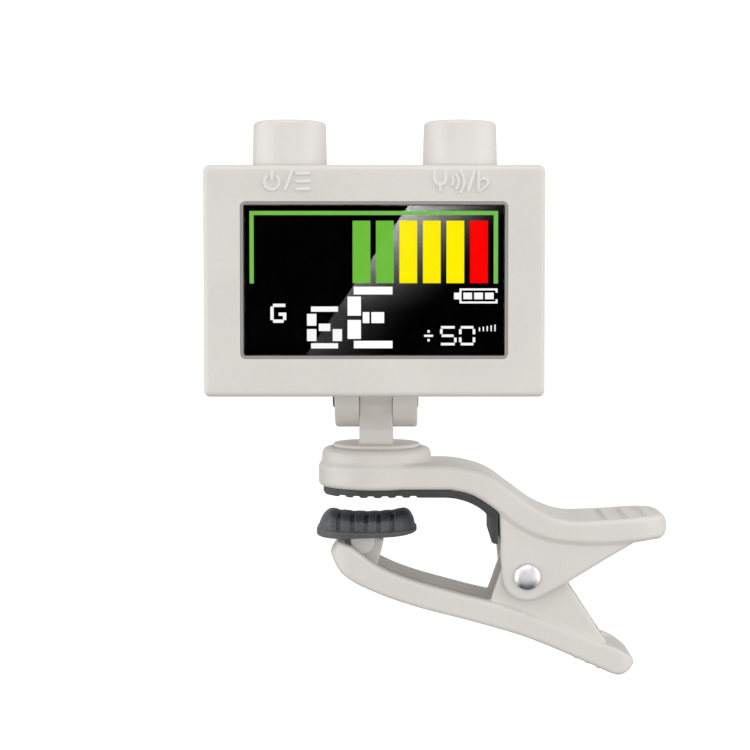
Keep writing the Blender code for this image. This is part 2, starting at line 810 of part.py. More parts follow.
def torsion_spring():
    """A coil round the rivet whose two legs push the handles apart."""
    coil_radius, wire_radius, half_length = 2.5, 0.4, 1.7
    upper_end = Vector((33.0, -5.95))
    lower_end = Vector((31.5, -21.0))
    middle = Vector(PIVOT)
    upper_run = upper_end - middle
    lower_run = lower_end - middle
    start = math.atan2(upper_run.y, upper_run.x) + math.acos(coil_radius / upper_run.length)
    finish = math.atan2(lower_run.y, lower_run.x) - math.acos(coil_radius / lower_run.length)
    finish += 4 * 2 * math.pi
    points = [(upper_end.x, -half_length, upper_end.y)]
    steps = 60
    for step in range(steps + 1):
        part = step / steps
        angle = start + (finish - start) * part
        across = middle.x + coil_radius * math.cos(angle)
        up = middle.y + coil_radius * math.sin(angle)
        points.append((across, half_length * (2 * part - 1), up))
    points.append((lower_end.x, half_length, lower_end.y))
    curve = bpy.data.curves.new("torsion_spring", "CURVE")
    curve.dimensions = "3D"
    curve.bevel_depth = wire_radius * MM
    curve.bevel_resolution = 2
    curve.use_fill_caps = True
    spline = curve.splines.new("POLY")
    spline.points.add(len(points) - 1)
    for point, place in zip(spline.points, points):
        point.co = (*(value * MM for value in place), 1.0)
    spring = bpy.data.objects.new("torsion_spring", curve)
    PARTS.objects.link(spring)
    return spring


# Assembly -------------------------------------------------------------------


def dress(material, *pieces):
    for piece in pieces:
        piece.data.materials.clear()
        piece.data.materials.append(material)


def hang(name, place, *pieces):
    """An empty on a joint's axis that carries the pieces which move about it."""
    empty = bpy.data.objects.new(name, None)
    PARTS.objects.link(empty)
    empty.location = Vector(place) * MM
    for piece in pieces:
        piece.parent = empty
        piece.matrix_parent_inverse = Matrix.Translation(-empty.location)
    return empty


def build():
    shell = new_material("warm_white_plastic", (0.72, 0.69, 0.65), 0.45)
    rubber = new_material("dark_rubber", (0.07, 0.075, 0.085), 0.75)
    grey = new_material("grey_bezel", (0.28, 0.27, 0.26), 0.4)
    clear = new_material("clear_lens", (0.9, 0.9, 0.92), 0.05, alpha=0.35)
    screen = new_material("display_glass", (0.01, 0.01, 0.012), 0.1)
    diffuser = new_material("white_diffuser", (0.85, 0.85, 0.85), 0.5)
    black = new_material("black_plastic", (0.02, 0.02, 0.02), 0.5)
    green = new_material("board_green", (0.03, 0.2, 0.08), 0.5)
    steel = new_material("steel", (0.6, 0.6, 0.6), 0.3, 1.0)
    brass = new_material("brass", (0.75, 0.55, 0.25), 0.35, 1.0)

    case = front_case()
    cover = rear_cover()
    screws = case_screws()
    bezel, lens, panel, holder, backlight, connector = screen_pieces()
    board, chip, switches, sensor = electronics()
    cell, battery_holder, positive, negative = battery_pieces()
    door = battery_door()
    power = button("power_button", -1)
    pitch = button("pitch_button", 1)
    post = stem()
    hinge_screw, hinge_nut, washers = hinge_pieces()
    swivel_washer, swivel_screw = swivel_pieces()
    upper = upper_jaw()
    liner = upper_liner()
    lower = lower_jaw()
    carrier = pad_carrier()
    pad = grip_pad()
    x, z = PAD_PIN
    pin = rod("pad_pin", (x, -3.6, z), (x, 3.6, z), 0.55, sides=16)
    rivet, cap = rivet_pieces()
    spring = torsion_spring()

    dress(shell, case, cover, power, pitch, door, post, upper, lower, carrier)
    dress(rubber, liner, pad)
    dress(grey, bezel)
    dress(clear, lens)
    dress(screen, panel)
    dress(diffuser, backlight)
    dress(black, holder, chip, battery_holder, connector, hinge_screw, *switches, *washers)
    dress(green, board)
    dress(brass, sensor)
    dress(steel, cell, positive, negative, hinge_nut, swivel_washer, swivel_screw)
    dress(steel, rivet, cap, spring, pin, *screws)

    carried = (case, cover, bezel, lens, panel, holder, backlight, connector, board, chip, sensor)
    carried += (cell, battery_holder, positive, negative, hinge_screw, hinge_nut)
    tilt = hang("head_tilt_axis", (0, 0, TILT_Z), *carried, *switches, *washers, *screws)
    swivel = hang("head_swivel_axis", (0, 0, DISC_BOTTOM), post, swivel_washer, swivel_screw)
    tilt.parent = swivel
    tilt.matrix_parent_inverse = Matrix.Translation(-swivel.location)
    for piece, axis in ((power, "power_axis"), (pitch, "pitch_axis"), (door, "door_axis")):
        place = piece.matrix_world.translation / MM
        slide = hang(axis, place, piece)
        slide.parent = tilt
        slide.matrix_parent_inverse = Matrix.Translation(-tilt.location)
    opening = hang("jaw_axis", (PIVOT[0], 0, PIVOT[1]), lower, pin)
    rocking = hang("pad_axis", (PAD_PIN[0], 0, PAD_PIN[1]), carrier, pad)
    rocking.parent = opening
    rocking.matrix_parent_inverse = Matrix.Translation(-opening.location)


build()
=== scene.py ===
"""The finished looks of the clip-on tuner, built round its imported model.

Shapes are worked out in millimetres and turned into metres where their meshes are made.
The origin is the middle of the upper liner's gripping face, under the swivel axis.
+X runs from the jaws to the handles, -Y is the side the display faces, and +Z is up.
"""

import math

import bmesh
import bpy
import numpy as np
from mathutils import Matrix, Vector


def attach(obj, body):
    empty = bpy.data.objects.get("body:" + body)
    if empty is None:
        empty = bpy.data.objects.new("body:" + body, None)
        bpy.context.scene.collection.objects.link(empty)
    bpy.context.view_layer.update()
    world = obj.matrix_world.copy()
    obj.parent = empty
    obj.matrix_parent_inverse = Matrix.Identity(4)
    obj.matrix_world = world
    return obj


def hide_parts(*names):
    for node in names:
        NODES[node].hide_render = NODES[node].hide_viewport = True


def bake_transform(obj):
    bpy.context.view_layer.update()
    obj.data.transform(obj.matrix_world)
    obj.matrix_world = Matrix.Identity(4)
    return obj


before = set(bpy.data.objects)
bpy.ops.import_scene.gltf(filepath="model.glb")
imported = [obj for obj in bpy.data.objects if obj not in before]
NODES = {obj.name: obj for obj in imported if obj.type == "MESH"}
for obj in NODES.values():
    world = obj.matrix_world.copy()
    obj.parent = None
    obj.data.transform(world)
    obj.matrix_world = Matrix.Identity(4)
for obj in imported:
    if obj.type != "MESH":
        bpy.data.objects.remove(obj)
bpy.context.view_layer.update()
MM = 0.001
DETAIL = 1.0
CREASE = 32  # degrees; a sharper corner is shaded as an edge

# Head
HEAD_WIDTH = 48.0
HEAD_BOTTOM = 15.4
HEAD_TOP = 48.0
HEAD_FRONT = -18.0
HEAD_BACK = -4.0
HEAD_EDGE = 0.85
WALL = 1.4
FRONT_WALL = 1.2
COVER_THICKNESS = 1.2
SEAM = 0.3
HEAD_MIDDLE = (HEAD_BOTTOM + HEAD_TOP) / 2
SCREEN_MIDDLE = 31.8
WINDOW_HALF = (18.8, 11.05)
BEZEL_WIDTH = 0.43
SCREW_PLACE = (21.2, 13.7)
DOOR_FOOT = 22.3
THUMB_Z = 25.9
THUMB_FLOOR = -4.22

# Buttons
BUTTON_X = 12.2
BUTTON_Y = -11.5
BUTTON_RADIUS = 5.33
BUTTON_TOP = 54.5
BUTTON_FOOT = 45.4
BUTTON_CLEARANCE = 0.3
PLUNGER_Y = -9.6
PLUNGER_FOOT = 44.2

# Tilt hinge and swivel
TILT_Z = 15.0
EAR_RADIUS = 5.22
EAR_INSIDE = 2.51
EAR_OUTSIDE = 6.15
BARREL_RADIUS = 3.7
STEM_HALF_WIDTH = 2.49
STEM_HALF_DEPTH = 4.9
NECK_SHOULDER = 9.6
NECK_CREST = (3.4, 13.1)
DISC_RADIUS = 6.54
DISC_BOTTOM = 6.6
DISC_TOP = 7.44
TURRET_TOP = 6.55
TURRET_RIM = 6.85
JOURNAL_RADIUS = 2.6
JOURNAL_FOOT = 2.85
LEDGE = 3.0

# Clip
JAW_HALF_WIDTH = 7.8
JAW_NOSE_RADIUS = 8.7
JAW_UNDERSIDE = 1.0
HANDLE_END = 43.7
CHEEK_HALF_WIDTH = 7.3
CHEEK_INSIDE = 6.0
WEB = 1.5
LINER_HALF_WIDTH = 7.4
LINER_GAP = 0.02
PIVOT = (22.3, -11.8)
RIVET_RADIUS = 1.1
RIVET_HOLE = 1.22
ARM_HALF_WIDTH = 6.3
ARM_CHEEK_OUTSIDE = 5.7
ARM_CHEEK_INSIDE = 4.5
ARM_CHANNEL_DEPTH = 1.5
PAD_PIN = (-2.05, -7.2)
PAD_MIDDLE = -1.45
PAD_HALF_LENGTH = 7.5
PAD_HALF_WIDTH = 6.9
LUG_RADIUS = 1.8
PAD_SLOTS = (-5.5, -3.5, -1.45, 0.42, 2.35)

# Top and underside of the upper jaw, from over the swivel to the handle's end
UPPER_TOP = [
    (7.0, 4.65), (12.0, 4.5), (16.5, 3.25), (20.0, 0.85), (23.8, -1.85), (28.0, -3.4), (33.0, -3.4),
    (41.3, -2.85),
]
UPPER_UNDER = [
    (11.0, JAW_UNDERSIDE), (14.0, 0.3), (17.0, -1.5), (20.5, -4.25), (24.5, -6.15), (29.0, -6.95),
    (34.0, -7.05), (40.8, -6.5),
]
LINER_UNDER = [(10.2, -0.12), (11.9, -0.3), (13.9, -0.92), (15.7, -1.98), (16.85, -3.25)]
LINER_LEG = [(18.0, -2.3), (18.0, -6.95), (17.35, -6.9), (17.05, -6.7), (16.9, -6.2)]

# Top and underside of the lower arm, from under the pad to its handle's end
LOWER_TOP = [
    (-5.6, -6.8), (-3.5, -7.7), (0.1, -10.3), (5.0, -12.4), (12.4, -14.5), (19.3, -16.3),
    (27.1, -19.4), (35.6, -22.6), (37.8, -23.9),
]
LOWER_UNDER = [
    (-6.9, -8.7), (-5.0, -11.75), (-0.3, -14.3), (6.1, -16.55), (15.6, -19.05), (23.2, -21.4),
    (31.7, -25.0), (35.0, -26.45), (36.5, -26.6), (37.8, -26.0),
]

PLANES = {
    "XY": Matrix.Identity(4),
    "XZ": Matrix.Rotation(math.radians(90), 4, "X"),
    "YZ": Matrix(((0, 0, 1, 0), (1, 0, 0, 0), (0, 1, 0, 0), (0, 0, 0, 1))),
}
NORMALS = {"XY": (0, 0, 1), "XZ": (0, 1, 0), "YZ": (1, 0, 0)}


# Outlines -------------------------------------------------------------------


def arc(centre, radius, start, end, steps):
    """Points along an arc, angles in degrees."""
    points = []
    for step in range(steps + 1):
        angle = math.radians(start + (end - start) * step / steps)
        points.append((centre[0] + radius * math.cos(angle), centre[1] + radius * math.sin(angle)))
    return points


def circle(centre, radius, sides=48):
    return arc(centre, radius, 0, 360 - 360 / sides, sides - 1)


def rounded_rectangle(low, high, radius, steps=6):
    corners = (
        ((high[0] - radius, high[1] - radius), 0),
        ((low[0] + radius, high[1] - radius), 90),
        ((low[0] + radius, low[1] + radius), 180),
        ((high[0] - radius, low[1] + radius), 270),
    )
    points = []
    for centre, start in corners:
        points += arc(centre, radius, start, start + 90, steps)
    return points


def smooth(points, steps=8):
    """A Catmull-Rom curve through the points."""
    padded = [points[0], *points, points[-1]]
    result = []
    for before, start, end, after in zip(padded, padded[1:], padded[2:], padded[3:]):
        for step in range(steps):
            t = step / steps
            place = []
            for a, b, c, d in zip(before, start, end, after):
                bend = (2 * a - 5 * b + 4 * c - d) * t * t + (3 * b - a - 3 * c + d) * t**3
                place.append(b + ((c - a) * t + bend) / 2)
            result.append(tuple(place))
    result.append(points[-1])
    return result


def raised(points, rise):
    return [(across, up + rise) for across, up in points]


def ribbon(points, width):
    """The outline of a line of the given width through the points."""
    left, right = [], []
    for i, (x, y) in enumerate(points):
        before = points[max(i - 1, 0)]
        after = points[min(i + 1, len(points) - 1)]
        run = Vector((after[0] - before[0], after[1] - before[1])).normalized()
        left.append((x - run.y * width / 2, y + run.x * width / 2))
        right.append((x + run.y * width / 2, y - run.x * width / 2))
    return left + right[::-1]


# Meshes with crisp edges ----------------------------------------------------


def new_object(name, mesh, matrix=None):
    obj = bpy.data.objects.new(name, mesh)
    bpy.context.scene.collection.objects.link(obj)
    if matrix is not None:
        obj.matrix_world = matrix
    return obj


def from_bmesh(shape, name):
    mesh = bpy.data.meshes.new(name)
    shape.to_mesh(mesh)
    shape.free()
    return mesh


def evaluated(obj):
    """The mesh that an object's modifiers or its curve make."""
    graph = bpy.context.evaluated_depsgraph_get()
    return bpy.data.meshes.new_from_object(obj.evaluated_get(graph))


def block(name, low, high):
    shape = bmesh.new()
    bmesh.ops.create_cube(shape, size=1.0)
    bmesh.ops.scale(shape, vec=Vector(high) - Vector(low), verts=shape.verts)
    middle = (Vector(high) + Vector(low)) / 2
    return new_object(name, from_bmesh(shape, name), Matrix.Translation(middle))


def rod(name, start, end, radius, end_radius=None, sides=48):
    start = Vector(start)
    run = Vector(end) - start
    shape = bmesh.new()
    bmesh.ops.create_cone(
        shape,
        cap_ends=True,
        segments=sides,
        radius1=radius,
        radius2=radius if end_radius is None else end_radius,
        depth=run.length,
    )
    turn = run.to_track_quat("Z", "Y").to_matrix().to_4x4()
    matrix = Matrix.Translation(start + run / 2) @ turn
    return new_object(name, from_bmesh(shape, name), matrix)


def slab(name, outlines, low, high, plane):
    """One flat outline, or an outline and its holes, given thickness along the plane's normal."""
    curve = bpy.data.curves.new(name, "CURVE")
    curve.dimensions = "2D"
    curve.fill_mode = "BOTH"
    curve.extrude = (high - low) / 2
    for loop in outlines:
        spline = curve.splines.new("POLY")
        spline.points.add(len(loop) - 1)
        for point, (across, up) in zip(spline.points, loop):
            point.co = (across, up, 0.0, 1.0)
        spline.use_cyclic_u = True
    offset = Vector(NORMALS[plane]) * (low + high) / 2
    flat = new_object(name, curve, Matrix.Translation(offset) @ PLANES[plane])
    mesh = evaluated(flat)
    shape = bmesh.new()
    shape.from_mesh(mesh)
    bmesh.ops.remove_doubles(shape, verts=shape.verts, dist=1e-4)
    bmesh.ops.dissolve_limit(shape, angle_limit=0.001, verts=shape.verts, edges=shape.edges)
    shape.to_mesh(mesh)
    shape.free()
    matrix = flat.matrix_world.copy()
    bpy.data.objects.remove(flat, do_unlink=True)
    return new_object(name, mesh, matrix)


def turned(name, profile, matrix, steps=72):
    """A closed profile of (radius, height) points from the axis back to it, turned about Z."""
    shape = bmesh.new()
    rings = []
    for radius, height in profile:
        count = steps if radius > 1e-6 else 1
        ring = []
        for step in range(count):
            angle = 2 * math.pi * step / count
            place = (radius * math.cos(angle), radius * math.sin(angle), height)
            ring.append(shape.verts.new(place))
        rings.append(ring)
    for upper, lower in zip(rings, rings[1:]):
        for step in range(steps):
            following = step + 1
            corners = [
                upper[step % len(upper)],
                lower[step % len(lower)],
                lower[following % len(lower)],
                upper[following % len(upper)],
            ]
            shape.faces.new(dict.fromkeys(corners))
    return new_object(name, from_bmesh(shape, name), matrix)


def combine(target, tools, operation):
    for tool in tools:
        modifier = target.modifiers.new(tool.name, "BOOLEAN")
        modifier.operation = operation
        modifier.object = tool


def cut(target, *tools):
    combine(target, tools, "DIFFERENCE")


def join(target, *tools):
    combine(target, tools, "UNION")


def bevel(obj, width, segments=3, limit=40):
    modifier = obj.modifiers.new("edges", "BEVEL")
    modifier.width = width
    modifier.segments = segments
    modifier.limit_method = "ANGLE"
    modifier.angle_limit = math.radians(limit)
    modifier.harden_normals = False
    return obj


def applied(obj):
    """The mesh that an object's modifiers make."""
    mesh = evaluated(obj)
    tools = [m.object for m in obj.modifiers if m.type == "BOOLEAN"]
    obj.modifiers.clear()
    obj.data = mesh
    for tool in tools:
        bpy.data.objects.remove(tool, do_unlink=True)
    return mesh


def scored(mesh, places):
    """Cuts faces along planes, as (axis, place), so that shading at corners stays near them."""
    shape = bmesh.new()
    shape.from_mesh(mesh)
    for axis, place in places:
        normal = Vector([float(i == axis) for i in range(3)])
        parts = [*shape.verts, *shape.edges, *shape.faces]
        bmesh.ops.bisect_plane(shape, geom=parts, plane_co=normal * place, plane_no=normal)
    shape.to_mesh(mesh)
    shape.free()


def made(obj, scores=()):
    """Applies an object's modifiers, turns it into metres in place and evens out its shading."""
    mesh = applied(obj)
    mesh.transform(Matrix.Scale(MM, 4) @ obj.matrix_world)
    obj.matrix_world = Matrix.Identity(4)
    if scores:
        scored(mesh, [(axis, place * MM) for axis, place in scores])
    mesh.shade_smooth()
    mesh.set_sharp_from_angle(angle=math.radians(CREASE))
    weighted = obj.modifiers.new("normals", "WEIGHTED_NORMAL")
    weighted.keep_sharp = True
    applied(obj)
    return obj


# Moulded shapes, worked out as distance fields ------------------------------


class Space:
    """A grid of points, on which distances to shapes are worked out."""

    def __init__(self, low, high, step):
        self.step = step * DETAIL
        self.low = np.array(low, float) - 2 * self.step
        counts = np.ceil((np.array(high, float) - self.low) / self.step).astype(int) + 3
        axes = [low + self.step * np.arange(n) for low, n in zip(self.low, counts)]
        self.x = axes[0][:, None, None]
        self.y = axes[1][None, :, None]
        self.z = axes[2][None, None, :]

    def side(self, points):
        """Distance to an outline in X and Z."""
        return outline_distance(points, self.x, self.z)

    def plan(self, points):
        """Distance to an outline in X and Y."""
        return outline_distance(points, self.x, self.y)

    def end(self, points):
        """Distance to an outline in Y and Z."""
        return outline_distance(points, self.y, self.z)

    def axle(self, height, radius):
        """A round bar along X."""
        return np.hypot(self.y, self.z - height) - radius

    def thick(self, half):
        return np.abs(self.y) - half

    def post(self, radius, x=0.0, y=0.0):
        """An upright round bar."""
        return np.hypot(self.x - x, self.y - y) - radius

    def pin(self, centre, radius):
        """A round bar along Y."""
        return np.hypot(self.x - centre[0], self.z - centre[1]) - radius

    def between(self, low, high):
        return np.maximum(low - self.z, self.z - high)


def outline_distance(points, u, v):
    """Distance from each (u, v) to a closed outline, negative inside it."""
    nearest = np.full(np.broadcast_shapes(u.shape, v.shape), 1e9)
    inside = np.zeros(nearest.shape, bool)
    for (ax, ay), (bx, by) in zip(points, points[1:] + points[:1]):
        run_x, run_y = bx - ax, by - ay
        length = run_x * run_x + run_y * run_y
        if length < 1e-12:
            continue
        part = np.clip(((u - ax) * run_x + (v - ay) * run_y) / length, 0, 1)
        away = (u - ax - part * run_x) ** 2 + (v - ay - part * run_y) ** 2
        nearest = np.minimum(nearest, away)
        if ay != by:
            crosses = ((ay > v) != (by > v)) & (u < ax + (v - ay) / run_y * run_x)
            inside ^= crosses
    nearest = np.sqrt(nearest)
    return np.where(inside, -nearest, nearest)


def meet(a, b, radius=0.0):
    """What two shapes share, with the edge between them rounded."""
    if radius == 0:
        return np.maximum(a, b)
    round_part = np.hypot(np.maximum(a + radius, 0), np.maximum(b + radius, 0))
    return np.minimum(np.maximum(a, b), -radius) + round_part


def fuse(a, b, radius=0.0):
    """Two shapes as one, with a fillet where they meet."""
    if radius == 0:
        return np.minimum(a, b)
    round_part = np.hypot(np.maximum(radius - a, 0), np.maximum(radius - b, 0))
    return np.maximum(np.minimum(a, b), radius) - round_part


def carve(a, b, radius=0.0):
    return meet(a, -b, radius)


def surface(name, field, space):
    """The mesh of a distance field's zero surface, one point per crossed cell of the grid."""
    shape = [len(axis.ravel()) for axis in (space.x, space.y, space.z)]
    field = np.broadcast_to(field, shape)
    inside = field < 0
    corners = [(i, j, k) for i in (0, 1) for j in (0, 1) for k in (0, 1)]
    cells = [n - 1 for n in shape]
    count = np.zeros(cells, np.int8)
    for i, j, k in corners:
        count += inside[i : i + cells[0], j : j + cells[1], k : k + cells[2]]
    active = (count > 0) & (count < 8)
    index = np.full(cells, -1)
    places = np.argwhere(active)
    index[active] = np.arange(len(places))
    total = np.zeros((len(places), 3))
    hits = np.zeros(len(places))
    for axis in range(3):
        unit = np.eye(3, dtype=int)[axis]
        for corner in corners:
            if corner[axis]:
                continue
            start = places + corner
            near = field[tuple(start.T)]
            far = field[tuple((start + unit).T)]
            crossed = (near < 0) != (far < 0)
            share = near[crossed] / (near[crossed] - far[crossed])
            total[crossed] += np.array(corner) + share[:, None] * unit
            hits[crossed] += 1
    points = (places + total / hits[:, None]) * space.step + space.low
    quads = []
    for axis in range(3):
        unit = np.eye(3, dtype=int)[axis]
        first, second = np.eye(3, dtype=int)[(axis + 1) % 3], np.eye(3, dtype=int)[(axis + 2) % 3]
        near = [slice(0, n - 1) if a == axis else slice(1, n - 1) for a, n in enumerate(shape)]
        far = [slice(1, n) if a == axis else slice(1, n - 1) for a, n in enumerate(shape)]
        flips = np.argwhere(inside[tuple(near)] != inside[tuple(far)]) + 1 - unit
        starts = inside[tuple(flips.T)]
        ring = [
            index[tuple((flips - first - second).T)],
            index[tuple((flips - second).T)],
            index[tuple(flips.T)],
            index[tuple((flips - first).T)],
        ]
        quad = np.stack(ring, 1)
        quad[~starts] = quad[~starts][:, ::-1]
        quads.append(quad)
    quads = np.concatenate(quads)
    mesh = bpy.data.meshes.new(name)
    mesh.from_pydata((points * MM).tolist(), [], quads.tolist())
    mesh.update()
    mesh.shade_smooth()
    return new_object(name, mesh)


# Materials ------------------------------------------------------------------


def ranged(tree, value, low, high, start, end):
    """A value with the range from start to end stretched to that from low to high."""
    node = tree.nodes.new("ShaderNodeMapRange")
    numbers = (("From Min", start), ("From Max", end), ("To Min", low), ("To Max", high))
    for key, number in numbers:
        node.inputs[key].default_value = number
    tree.links.new(value, node.inputs["Value"])
    return node.outputs["Result"]


class Finish:
    """A procedural material on one Principled shader."""

    def __init__(self, name, **sockets):
        self.material = bpy.data.materials.new(name)
        self.material.use_nodes = True
        self.tree = self.material.node_tree
        self.shader = self.tree.nodes["Principled BSDF"]
        for key, value in sockets.items():
            self.shader.inputs[key.replace("_", " ")].default_value = value
        self.coordinates = self.tree.nodes.new("ShaderNodeTexCoord").outputs["Object"]

    def node(self, kind, **settings):
        node = self.tree.nodes.new("ShaderNode" + kind)
        for key, value in settings.items():
            setattr(node, key, value)
        return node

    def link(self, output, socket):
        self.tree.links.new(output, socket)

    def feed(self, socket, value):
        """Links a socket to an output, or gives it a plain value."""
        if isinstance(value, bpy.types.NodeSocket):
            self.link(value, socket)
        else:
            socket.default_value = value

    def math(self, operation, *values):
        node = self.node("Math", operation=operation)
        for socket, value in zip(node.inputs, values):
            self.feed(socket, value)
        return node.outputs[0]

    def noise(self, scale, detail=2.0, roughness=0.5, stretch=None):
        """Noise with the given number of blotches per metre."""
        node = self.node("TexNoise")
        node.inputs["Scale"].default_value = scale
        node.inputs["Detail"].default_value = detail
        node.inputs["Roughness"].default_value = roughness
        coordinates = self.coordinates
        if stretch:
            mapping = self.node("Mapping")
            mapping.inputs["Scale"].default_value = stretch
            self.link(coordinates, mapping.inputs["Vector"])
            coordinates = mapping.outputs["Vector"]
        self.link(coordinates, node.inputs["Vector"])
        return node.outputs["Fac"]

    def ramp(self, value, *stops):
        node = self.node("ValToRGB")
        while len(node.color_ramp.elements) < len(stops):
            node.color_ramp.elements.new(0.5)
        for element, (place, colour) in zip(node.color_ramp.elements, stops):
            element.position = place
            element.color = (*colour, 1.0) if len(colour) == 3 else colour
        self.link(value, node.inputs["Fac"])
        return node.outputs["Color"]

    def range(self, value, low, high, start=0.3, end=0.7):
        return ranged(self.tree, value, low, high, start, end)

    def mix(self, share, a, b, kind="MIX"):
        node = self.node("Mix", data_type="RGBA", blend_type=kind)
        for key, value in (("Factor", share), ("A", a), ("B", b)):
            socket = [s for s in node.inputs if s.name == key and s.enabled][0]
            self.feed(socket, (*value, 1.0) if isinstance(value, tuple) else value)
        return [s for s in node.outputs if s.enabled][0]

    def edges(self, start=0.5, end=0.6):
        """How sharply the surface turns outwards."""
        node = self.node("NewGeometry")
        return self.range(node.outputs["Pointiness"], 0.0, 1.0, start, end)

    def bump(self, height, strength, distance):
        node = self.node("Bump")
        node.inputs["Strength"].default_value = strength
        node.inputs["Distance"].default_value = distance
        self.link(height, node.inputs["Height"])
        self.link(node.outputs["Normal"], self.shader.inputs["Normal"])

    def set(self, socket, output):
        self.link(output, self.shader.inputs[socket])


def tinted(colour, factor):
    return tuple(min(1.0, c * factor) for c in colour)


def plastic(name, colour, roughness=0.42, grain=1.0, wear_and_highlight=0.35):
    """Moulded plastic: slow drifts of tone, a fine spark-eroded grain, and lighter convex edges
    that are partly wear and partly a painted highlight.
    """
    finish = Finish(name, Specular_IOR_Level=0.42)
    drift = finish.ramp(
        finish.noise(70, 3.0), (0.35, tinted(colour, 0.975)), (0.65, tinted(colour, 1.025))
    )
    specks = finish.ramp(finish.noise(1900, 2.0), (0.3, tinted((1, 1, 1), 0.975)), (0.7, (1, 1, 1)))
    toned = finish.mix(1.0, drift, specks, "MULTIPLY")
    # Convex edges are made lighter: partly rubbing wear, partly a painted highlight.
    rubbed_and_highlit = finish.mix(finish.edges(), toned, tinted(colour, 1.0 + 0.12 * wear_and_highlight))
    finish.set("Base Color", rubbed_and_highlit)
    wear = finish.noise(420, 3.0)
    finish.set("Roughness", finish.range(wear, roughness - 0.05, roughness + 0.06))
    finish.bump(finish.noise(4200, 3.0, 0.6), 0.16 * grain, 0.00003)
    return finish.material


def rubber(name, colour, roughness=0.62):
    """Soft rubber: lighter along its convex edges, partly dust and partly a painted highlight, with
    a coarse matt grain.
    """
    finish = Finish(name, Specular_IOR_Level=0.35)
    mottled = finish.ramp(
        finish.noise(260, 4.0, 0.6), (0.3, tinted(colour, 0.82)), (0.72, tinted(colour, 1.2))
    )
    # Convex edges are made much lighter: partly dust, partly a painted highlight.
    dusty_and_highlit = finish.mix(finish.edges(0.505, 0.62), mottled, tinted(colour, 1.9))
    finish.set("Base Color", dusty_and_highlit)
    finish.set("Roughness", finish.range(finish.noise(900, 2.0), roughness - 0.08, roughness + 0.1))
    finish.bump(finish.noise(5200, 2.0, 0.7), 0.3, 0.00004)
    return finish.material


def metal(name, colour, roughness=0.28, stretch=(1.0, 1.0, 14.0)):
    """Drawn or turned metal with faint scratches along one direction."""
    finish = Finish(name, Metallic=1.0)
    scratches = finish.noise(900, 4.0, 0.65, stretch)
    finish.set(
        "Base Color",
        finish.ramp(scratches, (0.3, tinted(colour, 0.9)), (0.7, tinted(colour, 1.06))),
    )
    finish.set("Roughness", finish.range(scratches, roughness - 0.07, roughness + 0.09))
    finish.bump(scratches, 0.08, 0.00002)
    return finish.material


def glowing(name, colour, level=1.0):
    """A lit part of the display: a fine screen of cells with slightly uneven light."""
    finish = Finish(name, Roughness=0.5, Specular_IOR_Level=0.0, Emission_Strength=level)
    finish.set(
        "Base Color",
        finish.ramp(finish.noise(800, 1.0), (0.3, (0.0, 0.0, 0.0)), (0.7, (0.004, 0.004, 0.004))),
    )
    cells = finish.noise(420, 2.0)
    finish.set(
        "Emission Color",
        finish.ramp(cells, (0.25, tinted(colour, 0.94)), (0.75, tinted(colour, 1.03))),
    )
    return finish.material


def display_black():
    finish = Finish("display_black", Specular_IOR_Level=0.5, IOR=1.5)
    finish.set(
        "Base Color",
        finish.ramp(
            finish.noise(500, 2.0), (0.3, (0.0006, 0.0006, 0.0007)), (0.7, (0.0012, 0.0012, 0.0014))
        ),
    )
    finish.set("Roughness", finish.range(finish.noise(1200, 2.0), 0.0, 0.008))
    return finish.material


def clear_plastic():
    finish = Finish("coated_acrylic", IOR=1.06, Transmission_Weight=1.0)
    finish.set(
        "Base Color",
        finish.ramp(finish.noise(60, 2.0), (0.3, (0.985, 0.985, 0.985)), (0.7, (1.0, 1.0, 1.0))),
    )
    finish.set("Roughness", finish.range(finish.noise(900, 3.0), 0.0, 0.012))
    return finish.material


def board_laminate():
    """Green board with copper tracks under the resist and small bright pads."""
    finish = Finish("board_green", Specular_IOR_Level=0.5)
    tracks = finish.node("TexBrick", offset=0.5)
    tracks.inputs["Scale"].default_value = 420
    tracks.inputs["Mortar Size"].default_value = 0.03
    tracks.inputs["Color1"].default_value = (0.012, 0.10, 0.035, 1)
    tracks.inputs["Color2"].default_value = (0.016, 0.13, 0.045, 1)
    tracks.inputs["Mortar"].default_value = (0.035, 0.24, 0.09, 1)
    turned_round = finish.node("Mapping")
    turned_round.inputs["Rotation"].default_value = (math.radians(90), 0, 0)
    finish.link(finish.coordinates, turned_round.inputs["Vector"])
    finish.link(turned_round.outputs["Vector"], tracks.inputs["Vector"])
    finish.set("Base Color", tracks.outputs["Color"])
    finish.set("Roughness", finish.range(finish.noise(600), 0.3, 0.42))
    finish.bump(tracks.outputs["Fac"], 0.3, 0.00004)
    return finish.material


SHELL_COLOUR = (0.70, 0.672, 0.632)
SHELL = plastic("warm_white_plastic", SHELL_COLOUR)
BUTTON = plastic("button_plastic", (0.735, 0.71, 0.675), 0.4, 0.7)
LABEL = plastic("raised_symbol_plastic", (0.76, 0.745, 0.72), 0.4, 0.5)
BEZEL = plastic("grey_bezel_plastic", (0.29, 0.282, 0.264), 0.38, 0.6, 0.6)
RUBBER = rubber("dark_rubber", (0.041, 0.042, 0.044))
PAD_RUBBER = rubber("pad_rubber", (0.078, 0.081, 0.087), 0.55)
STEEL = metal("satin_steel", (0.62, 0.62, 0.63), 0.26)
RIVET_STEEL = metal("polished_rivet", (0.74, 0.74, 0.75), 0.4, (1.0, 1.0, 1.0))
SPRING_STEEL = metal("spring_steel", (0.5, 0.5, 0.51), 0.3)
BRASS = metal("brass", (0.76, 0.55, 0.24), 0.32, (1.0, 1.0, 1.0))
BLACK_STEEL = metal("blackened_steel", (0.09, 0.09, 0.1), 0.42)
BLACK = plastic("black_plastic", (0.02, 0.02, 0.021), 0.5, 1.0, 1.5)
DIFFUSER = plastic("milky_diffuser", (0.82, 0.82, 0.8), 0.5, 0.6)
LENS = clear_plastic()
PANEL = display_black()
BOARD = board_laminate()


# The head -------------------------------------------------------------------


